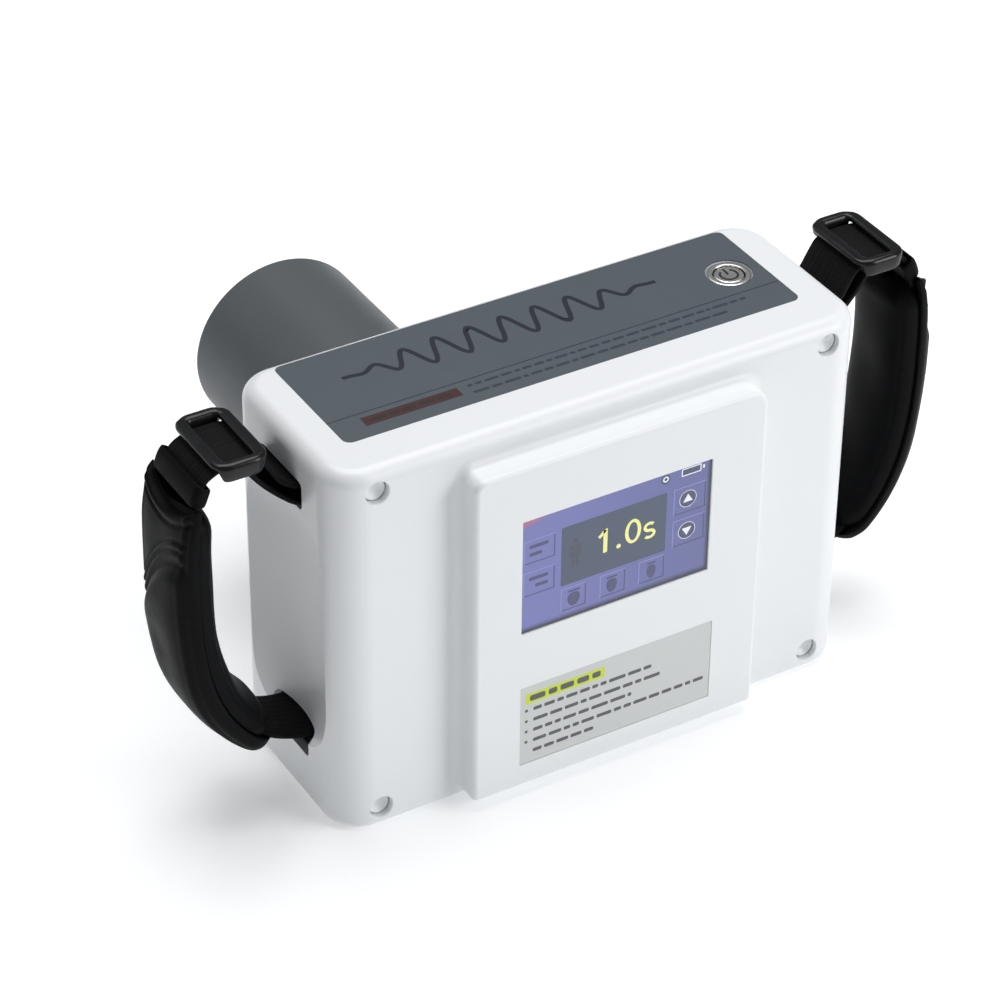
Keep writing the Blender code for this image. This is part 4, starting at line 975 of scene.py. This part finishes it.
def skin(name, points, run, girth, finish, loop_rows=False):
    """A closed skin over a (rows, ring, 3) grid, its UV the length run and the girth, in metres."""
    rows, ring = points.shape[:2]
    faces = quads(rows, ring, wrap_rows=loop_rows).tolist()
    if not loop_rows:
        faces += [list(range(ring))[::-1], list(range((rows - 1) * ring, rows * ring))]
    mesh = solid_mesh(name, points, faces, merge=False)
    faces_out(mesh)
    corner = np.empty(len(mesh.loops), np.int64)
    mesh.loops.foreach_get("vertex_index", corner)
    flat = np.stack(np.broadcast_arrays(run, girth), -1).reshape(-1, 2) * MM
    mesh.uv_layers.new(name="UVMap").data.foreach_set("uv", flat[corner].ravel())
    mesh.shade_smooth()
    return put_in(name, mesh, finish)


def along(route, name, run, across, out, side, finish, loop_rows=False):
    """A skin whose grid is given by run, across and out on a route."""
    run, across, out = np.broadcast_arrays(run, across, out)
    return skin(name, route.place(run, across, out, side), run, girth_of(across, out), finish, loop_rows)


under = smooth_path([(96.5, 114.6), (92.6, 109.4), (87.5, 104.2), (82.5, 100.4), (77.0, 100.5)])
over = smooth_path([(77.0, 105.5), (82.5, 105.6), (87.2, 108.6), (90.2, 113.4), (92.6, 117.0), (95.5, 118.2)]
                   + SHOULDER + OUTER_BEND + [(73.5, 22.5)])
webbing_route = Route(np.concatenate((under[:-1], arc(UPPER_PIN, LOOP_R, -90, -270)[1:-1], over[:-1],
                                      arc(LOWER_PIN, LOOP_R, 90, 270), [(75.5, 17.5), (79.5, 17.5)])))
strap_route = Route(smooth_path(SHOULDER + OUTER_BEND))

for side, tag in SIDES:
    run = np.arange(0.0, webbing_route.run[-1], 0.7)[:, None]
    ring = rounded_rectangle(WEBBING_HALF, 0.7, 0.45, 4)
    edge_roll = 1.0 - 0.16 * np.exp(-((np.abs(ring[:, 0]) - 8.9) / 0.25) ** 2)
    out = ring[:, 1] * edge_roll + 0.05 * np.sin(run / 3.7) * np.cos(ring[:, 0] / 4.0)
    band = along(webbing_route, f"webbing_{tag}", run, ring[:, 0], out, side, webbing)
    belongs(band, "unit", f"strap_webbing_{tag}")


# ---------------------------------------------------------------- outer pad of each strap
# The back of the hand rests under a foam pad in satin black leatherette. Its top end is a hemmed,
# hollowed mouth; two sewn lines and a raised panel's edge cross it, and a piped seam runs down each side.

leatherette = Finish("black_leatherette", (0.0046, 0.0048, 0.0053), 0.46)
leatherette.put("Specular IOR Level", 0.045)
grain = leatherette.node("TexVoronoi", {"feature": "DISTANCE_TO_EDGE"},
                         {"Vector": leatherette.place(), "Scale": 1100.0})
grain = Number(leatherette, grain.outputs["Distance"])
leatherette.wear(tint=(55.0, 4.0, 0.6, 0.75, 1.35), rough=(160.0, 4.0, 0.6, 0.36, 0.2))
leatherette.bump(grain * 1.4 + leatherette.noise(420.0, 3.0) * 0.6, 0.07, 0.6)
thread = Finish("black_thread", (0.006, 0.006, 0.0065), 0.5)
thread.put("Specular IOR Level", 0.05)
thread.wear(tint=(1400.0, 2.0, 0.7, 1.4), relief=(3000.0, 2.0, 0.03, 0.5))

PAD_HALF = 14.2
HOLLOW = 5.2
SEAM_GAP = 0.12
EDGE_RISE = 0.98


def smoothstep(value, low, high):
    t = np.clip((value - low) / (high - low), 0.0, 1.0)
    return t * t * (3 - 2 * t)


def dent(distance, width):
    """1 at a line, fading to nothing over about `width` on either side."""
    return np.exp(-(distance / width) ** 2)


def pad_section(power=3.4, spacing=0.45, width=PAD_HALF, rise=4.2):
    """Upper half of |y|^p + |n|^p = 1 from y = -1 to 1, in steps of equal length on a pad of this size."""
    angle = np.linspace(np.pi, 0.0, 4000)
    y = np.sign(np.cos(angle)) * np.abs(np.cos(angle)) ** (2 / power)
    n = np.abs(np.sin(angle)) ** (2 / power)
    length = np.concatenate(((0.0,), np.cumsum(np.hypot(np.diff(y) * width, np.diff(n) * rise))))
    even = np.linspace(0.0, length[-1], int(length[-1] / spacing) + 1)
    return np.interp(even, length, y), np.interp(even, length, n)


def end_close(reach, radius):
    """0 at an end, 1 from `radius` on, as a quarter circle."""
    return np.sqrt(np.clip(1.0 - (1.0 - np.clip(reach / radius, 0.0, 1.0)) ** 2, 0.0, 1.0))


def graded(length, spacing, fine, near):
    """Run from 0 to `length` in steps of `spacing`, finer within `near` of both ends."""
    middle = np.arange(near, length - near, spacing)
    ends = near * (1 - np.cos(np.linspace(0.0, np.pi / 2, int(near / fine))))
    return np.concatenate((ends[:-1], middle, length - ends[::-1]))


def line_drop(across):
    """How far a sewn line has run down the strap at each place across it."""
    return 10.0 * (np.clip(across + 13.0, 0.0, None) / 16.4) ** 2.1


s_mouth = strap_route.at_height(110.2)
s_tip = strap_route.at_height(26.2)
S_LINES = [strap_route.at_height(z) for z in (100.2, 97.4, 93.6)]


def mouth_dip(across):
    """How much further down the strap the hollowed mouth lies at each place across it."""
    return HOLLOW * (1 - (across / PAD_HALF) ** 2)


def pad_relief(run, across):
    """Height in mm of the sewn lines, the hem and the raised panel over the plain pad."""
    mouth = run - s_mouth - mouth_dip(across)
    first, second, third = (run - s - line_drop(across) for s in S_LINES)
    face = 1.0 - smoothstep(np.abs(across), 11.2, 12.6)
    hem = 0.55 * dent(mouth - 1.3, 1.1) - 0.45 * dent(mouth - 3.2, 0.6)
    grooves = 0.42 * (dent(first, 0.65) + dent(second, 0.65)) + 0.55 * dent(third, 0.8)
    swells = 0.35 * dent((first + second) / 2, 1.0) + 0.3 * dent(third + 2.2, 1.6)
    panel = smoothstep(third, 0.0, 6.0) * (1.0 - smoothstep(run, s_tip - 34.0, s_tip - 8.0))
    panel = panel * 2.1 * (1.0 - (np.abs(across) / PAD_HALF) ** 4)
    side_seam = 0.2 * dent(np.abs(across) - 11.2, 0.8) - 0.45 * dent(np.abs(across) - 12.5, 0.55)
    unevenness = 0.16 * np.sin(run / 6.5 + across / 7.0) * np.cos(across / 6.0)
    return hem + face * (swells - grooves) + panel + side_seam + unevenness


def stitches(name, run, across, out, side, length=2.2, thick=0.28):
    """Short round-ended threads that lie on a line of (run, across, out) places on the strap."""
    spine = strap_route.place(run, across, out, side)
    far = np.concatenate(((0.0,), np.cumsum(np.linalg.norm(np.diff(spine, axis=0), axis=1))))
    starts = np.arange(0.4, far[-1] - length, length + 1.1)
    profile_run = np.array((0.0, 0.06, 0.2, 0.5, 0.8, 0.94, 1.0)) * length
    profile_r = np.array((0.15, 0.6, 0.9, 1.0, 0.9, 0.6, 0.15)) * thick / 2
    where = starts[:, None] + profile_run
    middle = np.stack([np.interp(where, far, spine[:, i]) for i in range(3)], -1)
    normal = np.array((side * 1.0, 0.0, 0.35))
    lift = (0.04 - 0.7 * (profile_run / length - 0.5) ** 2)[None, :, None]
    heading = np.gradient(middle, axis=1)
    heading /= np.linalg.norm(heading, axis=-1)[..., None]
    first = np.cross(heading, normal)
    first /= np.linalg.norm(first, axis=-1)[..., None]
    second = np.cross(first, heading)
    turn = np.linspace(0.0, 2 * np.pi, 6, endpoint=False)
    ring = (np.cos(turn)[:, None] * first[..., None, :] + np.sin(turn)[:, None] * second[..., None, :])
    points = (middle + lift * second)[..., None, :] + ring * profile_r[None, :, None, None]
    count, rows, around = points.shape[:3]
    own = quads(rows, around)
    body = (own[None] + (np.arange(count) * rows * around)[:, None, None]).reshape(-1, 4).tolist()
    caps = [[int(base + offset + i) for i in order] for base in np.arange(count) * rows * around
            for offset, order in ((0, range(around)[::-1]), ((rows - 1) * around, range(around)))]
    return solid_mesh(name, points, body + caps)


def joined(name, meshes, finish):
    """One object of several meshes."""
    bm = bmesh.new()
    for mesh in meshes:
        bm.from_mesh(mesh)
    made = bpy.data.meshes.new(name)
    bm.to_mesh(made)
    bm.free()
    made.shade_smooth()
    return put_in(name, made, finish)


section_y, section_n = pad_section()
below_y = np.linspace(1.0, -1.0, 42)[1:-1]


def outer_surface(run, across_unit, rise_unit):
    """(across, out) on the upper face of the outer pad at a run and a place on its section."""
    reach = s_tip - run
    half = PAD_HALF - 9.0 * (1 - end_close(reach, 9.0)) - 0.5 * smoothstep(s_mouth + 6.0 - run, 0.0, 6.0)
    fullness = 3.75 + 1.5 * smoothstep(run, s_tip - 48.0, s_tip - 16.0)
    from_mouth = 0.78 + 0.22 * smoothstep(run, s_mouth, s_mouth + 14.0)
    rise = (0.75 + fullness * end_close(reach, 6.0)) * from_mouth
    across = half * across_unit
    relief = pad_relief(run, across) * smoothstep(rise_unit, 0.35, 0.8) * end_close(reach, 6.0)
    return across, SEAM_GAP + rise * rise_unit + relief


def seam_face(across, reach):
    """How far the face against the webbing stands off the strap's middle: in at the sewn edges."""
    return SEAM_GAP + EDGE_RISE * (1 - smoothstep(np.abs(across), 10.4, 12.2)) * end_close(reach, 3.0)


def upper_face(run, across):
    """(run, across, out) on the outer pad's crown at places `across` it."""
    unit = across / PAD_HALF
    return run, across, outer_surface(run, unit, np.interp(unit, section_y, section_n))[1]


for side, tag in SIDES:
    length = s_tip - s_mouth
    row = s_mouth + graded(length, 0.5, 0.25, 4.0)[:, None]
    hollow = HOLLOW * np.clip(1.0 - (row - s_mouth) / 16.0, 0.0, 1.0)
    top_run = row + hollow * (1 - section_y ** 2)
    top_across, top_out = outer_surface(top_run, section_y, section_n)
    lip = end_close(row - s_mouth, 1.1)
    low_run = row + hollow * (1 - below_y ** 2)
    low_across = outer_surface(low_run, below_y, 0.0)[0]
    low_out = seam_face(low_across, s_tip - row)
    top_out = top_out * lip + 1.0 * (1 - lip)
    low_out = low_out * lip + 1.0 * (1 - lip)
    runs = np.concatenate((top_run, low_run), axis=1)
    across = np.concatenate((top_across, low_across), axis=1)
    out = np.concatenate((top_out, low_out), axis=1)
    pad = along(strap_route, f"pad_outer_{tag}", runs, across, out, side, leatherette)
    belongs(pad, "unit", f"strap_pad_outer_{tag}")

    t = np.linspace(-0.82, 0.82, 90)
    sewn = [stitches("sewn", *upper_face(line_run + line_drop(t * 13.4), t * 13.4), side)
            for line_run in S_LINES[:2]]
    sewn.append(stitches("sewn", *upper_face(s_mouth + mouth_dip(t * 12.5) + 3.2, t * 12.5), side))
    row_of_stitches = joined(f"pad_stitches_{tag}", sewn, thread)
    belongs(row_of_stitches, "unit")


# ---------------------------------------------------------------- inner pad of each strap
# A thinner foam pad in smooth black leatherette towards the palm, sewn to the outer one along its
# edges and a little narrower, with a round end at the bottom.

leatherette_smooth = Finish("black_leatherette_smooth", (0.0042, 0.0044, 0.0049), 0.4)
leatherette_smooth.put("Specular IOR Level", 0.045)
leatherette_smooth.wear(tint=(40.0, 4.0, 0.6, 0.8, 1.3), rough=(130.0, 4.0, 0.6, 0.32, 0.18))
palm_grain = leatherette_smooth.noise(1300.0, 3.0, 0.6) + leatherette_smooth.noise(300.0, 2.0)
leatherette_smooth.bump(palm_grain, 0.035, 0.5)

s_inner = strap_route.at_height(107.0)
s_inner_tip = strap_route.at_height(28.0)
INNER_HALF = 13.3
inner_y, inner_n = pad_section(2.8, 0.5, INNER_HALF, 6.6)
for side, tag in SIDES:
    row = s_inner + graded(s_inner_tip - s_inner, 0.55, 0.3, 4.0)[:, None]
    reach = np.minimum(row - s_inner, s_inner_tip - row)
    half = INNER_HALF - 7.0 * (1 - end_close(reach, 8.0))
    rise = 0.5 + 6.1 * end_close(reach, 6.5)
    top_across = half * inner_y
    seam = 0.4 * dent(np.abs(top_across) - 11.4, 0.55)
    crown = 0.14 * np.sin(row / 5.0 + top_across / 6.0) + 0.35 * (1 - (top_across / INNER_HALF) ** 2)
    relief = (crown - seam) * smoothstep(inner_n, 0.4, 0.9) * end_close(reach, 6.0)
    top_out = -SEAM_GAP - rise * inner_n - relief
    low_across = half * below_y
    low_out = -seam_face(low_across, reach)
    across = np.concatenate((top_across, low_across), axis=1)
    out = np.concatenate((top_out, low_out), axis=1)
    pad = along(strap_route, f"pad_inner_{tag}", row, across, out, side, leatherette_smooth)
    belongs(pad, "unit", f"strap_pad_inner_{tag}")


# ---------------------------------------------------------------- keeper of each strap
# A soft leatherette loop sewn at the strap's shoulder, which holds the webbing flat.

for side, tag in SIDES:
    middle = strap_route.at_height(112.6)
    turn = np.linspace(0.0, 2 * np.pi, 20, endpoint=False)
    run = middle + 2.9 * np.sign(np.cos(turn)) * np.abs(np.cos(turn)) ** 0.6
    thick = 0.62 * np.sign(np.sin(turn)) * np.abs(np.sin(turn)) ** 0.8
    grown = np.stack([rounded_rectangle(11.35 + t, 1.95 + t, 1.5 + t, 8) for t in thick])
    grown[..., 1] += 0.12 * np.cos(grown[..., 0] / 3.6) * np.sign(grown[..., 1])
    keeper = along(strap_route, f"keeper_{tag}", run[:, None], grown[..., 0], grown[..., 1], side,
                   leatherette, loop_rows=True)
    belongs(keeper, "unit", f"strap_keeper_{tag}")


# ---------------------------------------------------------------- slider of each strap
# A glossy black acetal tri-glide with thick rounded bars: its end bars pass over the webbing and its
# middle bar under it. It slides 2 mm either way to set the strap's length.

BAR_Z = 116.72
outline = rounded_rectangle(6.1, 12.15, 3.1, 14)
count = len(outline)
normal = np.roll(outline, -1, axis=0) - np.roll(outline, 1, axis=0)
normal = np.column_stack((normal[:, 1], -normal[:, 0]))
normal /= np.linalg.norm(normal, axis=1)[:, None]
turn = np.linspace(0.0, 2 * np.pi, 24, endpoint=False)
across_bar = np.sign(np.cos(turn)) * np.abs(np.cos(turn)) ** 0.72
up_bar = np.sign(np.sin(turn)) * np.abs(np.sin(turn)) ** 0.72
side_bar = smoothstep(np.abs(outline[:, 1]), 10.8, 11.7)[:, None]
bottom = 119.3 - 3.15 * side_bar
roof = 121.6 - 0.25 * (outline[:, 0] / 6.0)[:, None] ** 2
plan = outline[:, None, :] + normal[:, None, :] * (across_bar * 1.8)[None, :, None]
z = (roof + bottom) / 2 + (roof - bottom) / 2 * up_bar
far = np.arange(count)[:, None] * 0.8
for side, tag in SIDES:
    points = np.stack((side * (SLIDER_X + plan[..., 0]), plan[..., 1], z), -1)
    slider = skin(f"slider_frame_{tag}", points, far, np.broadcast_to(turn * 1.5, points.shape[:2]),
                  black_gloss, loop_rows=True)
    ring = rounded_rectangle(1.5, 0.6, 0.5, 4)
    y = np.array((-12.2, -12.0, 0.0, 12.0, 12.2))[:, None]
    bar_points = np.stack(np.broadcast_arrays(side * (SLIDER_X + ring[:, 0]), y, BAR_Z + ring[:, 1]), -1)
    cross_bar = hard_surface(loft(f"slider_bar_{tag}", bar_points, black_gloss))
    for piece in (slider, cross_bar):
        belongs(piece, f"slider_{tag}")
    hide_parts(f"strap_slider_{tag}")


# ---------------------------------------------------------------- strap anchors
# Behind each slot a black acetal yoke screwed to the wall holds the steel pin that the webbing loops.

acetal = Finish("black_acetal", (0.0050, 0.0052, 0.0057), 0.4)
acetal.wear(tint=(70.0, 3.0, 0.8, 1.3), rough=(400.0, 3.0, 0.34, 0.14), relief=(1500.0, 2.0, 0.02, 0.5))
for place in ("upper_left", "upper_right", "lower_left", "lower_right"):
    refinish(acetal, f"strap_anchor_{place}")
    refinish(steel, f"anchor_pin_{place}")


# ---------------------------------------------------------------- collimation and shielding
# Lead parts with the soft grey bloom of cast lead: the cone's liner and the collimator plate, with a
# thin rolled aluminium filter behind it.

lead = Finish("cast_lead", (0.21, 0.22, 0.235), 0.55, metallic=1.0)
bloom = lead.noise(60.0, 5.0, 0.65)
lead.tint(bloom, 0.6, 1.25)
lead.put("Roughness", 0.45 + bloom * 0.25)
lead.bump(lead.noise(240.0, 4.0, 0.6), 0.08, 0.6)
refinish(lead, "cone_liner", "collimator_plate")

aluminium = Finish("rolled_aluminium", (0.66, 0.67, 0.68), 0.35, metallic=1.0)
x_mm, _, z_mm = aluminium.axes()
along_sheet = aluminium.node("CombineXYZ", None, {"X": x_mm * 0.25, "Y": z_mm * 6.0})
lay = aluminium.node("TexNoise", {"noise_dimensions": "2D"},
                     {"Vector": along_sheet.outputs[0], "Scale": 1.0, "Detail": 4.0})
lay = Number(aluminium, lay.outputs["Fac"])
aluminium.tint(aluminium.noise(35.0, 3.0), 0.88, 1.05)
aluminium.put("Roughness", 0.28 + lay * 0.22)
aluminium.bump(lay, 0.01, 0.5)
refinish(aluminium, "filter_disc", "tank_body", "tank_lid", "display_frame")


# ---------------------------------------------------------------- tube and high voltage
# A glass tube with a copper anode and a nickel-plated cathode cup, a ferrite-cored transformer with a
# taped copper winding, and a multiplier board, all in the aluminium oil tank.

tube_glass = Finish("tube_glass", (0.60, 0.66, 0.64), 0.06)
tube_glass.wear(tint=(30.0, 2.0, 0.85, 1.08), rough=(90.0, 3.0, 0.04, 0.06))
refinish(tube_glass, "tube_envelope")
copper = Finish("machined_copper", (0.78, 0.36, 0.20), 0.3, metallic=1.0)
copper.wear(tint=(80.0, 4.0, 0.75, 1.08), rough=(300.0, 4.0, 0.24, 0.2))
refinish(copper, "tube_anode")
refinish(steel, "tube_cathode")
ferrite = Finish("pressed_ferrite", (0.028, 0.027, 0.028), 0.6)
ferrite.wear(tint=(500.0, 4.0, 0.7, 0.6, 1.6), rough=(200.0, 3.0, 0.5, 0.2), relief=(900.0, 3.0, 0.04, 0.6))
refinish(ferrite, "transformer_core")
winding = Finish("taped_winding", (0.62, 0.36, 0.045), 0.42)
x_mm = winding.axes()[0]
turns = (x_mm * 4.2).sin() * 0.5 + 0.5
winding.tint(turns * 0.6 + winding.noise(150.0, 3.0) * 0.4, 0.6, 1.15)
winding.put("Roughness", 0.34 + turns * 0.15)
winding.bump(turns, 0.1, 0.6)
refinish(winding, "transformer_coil")


# ---------------------------------------------------------------- electronics and battery
# Green solder-masked boards with a track pattern, a black display module, buzzer and switch, a
# lithium pack in blue shrink wrap in a white tray, and a grey silicone gasket round the parting line.

board = Finish("green_board", (0.012, 0.095, 0.042), 0.36)
cells = board.node("TexVoronoi", {"feature": "DISTANCE_TO_EDGE", "distance": "MANHATTAN"},
                   {"Vector": board.place(), "Scale": 420.0})
tracks = Number(board, cells.outputs["Distance"]).step(0.06, 0.12)
board.put("Base Color", board.mix(tracks, (0.030, 0.19, 0.075, 1.0), (0.010, 0.080, 0.035, 1.0)))
board.put("Roughness", 0.28 + tracks * 0.12)
board.bump(tracks, 0.03, 0.5)
refinish(board, "multiplier_board", "control_board")
refinish(acetal, "display_module", "button_switch", "buzzer")
refinish(steel, "button_nut", "button_spring")
wrap = Finish("battery_wrap", (0.025, 0.12, 0.36), 0.3)
wrap.wear(tint=(45.0, 3.0, 0.85, 1.12), rough=(90.0, 4.0, 0.65, 0.22, 0.16), relief=(60.0, 3.0, 0.15, 0.5))
refinish(wrap, "battery_pack")
tray_abs = Finish("tray_abs", (0.78, 0.79, 0.80), 0.42)
tray_abs.wear(tint=(20.0, 3.0, 0.97, 1.02), rough=(200.0, 3.0, 0.36, 0.12),
              relief=(1200.0, 2.0, 0.015, 0.5))
refinish(tray_abs, "battery_tray")
rubber = Finish("gasket_rubber", (0.10, 0.105, 0.11), 0.7)
rubber.wear(tint=(100.0, 3.0, 0.85, 1.15), rough=(400.0, 3.0, 0.6, 0.2), relief=(1500.0, 2.0, 0.02, 0.5))
refinish(rubber, "case_gasket")
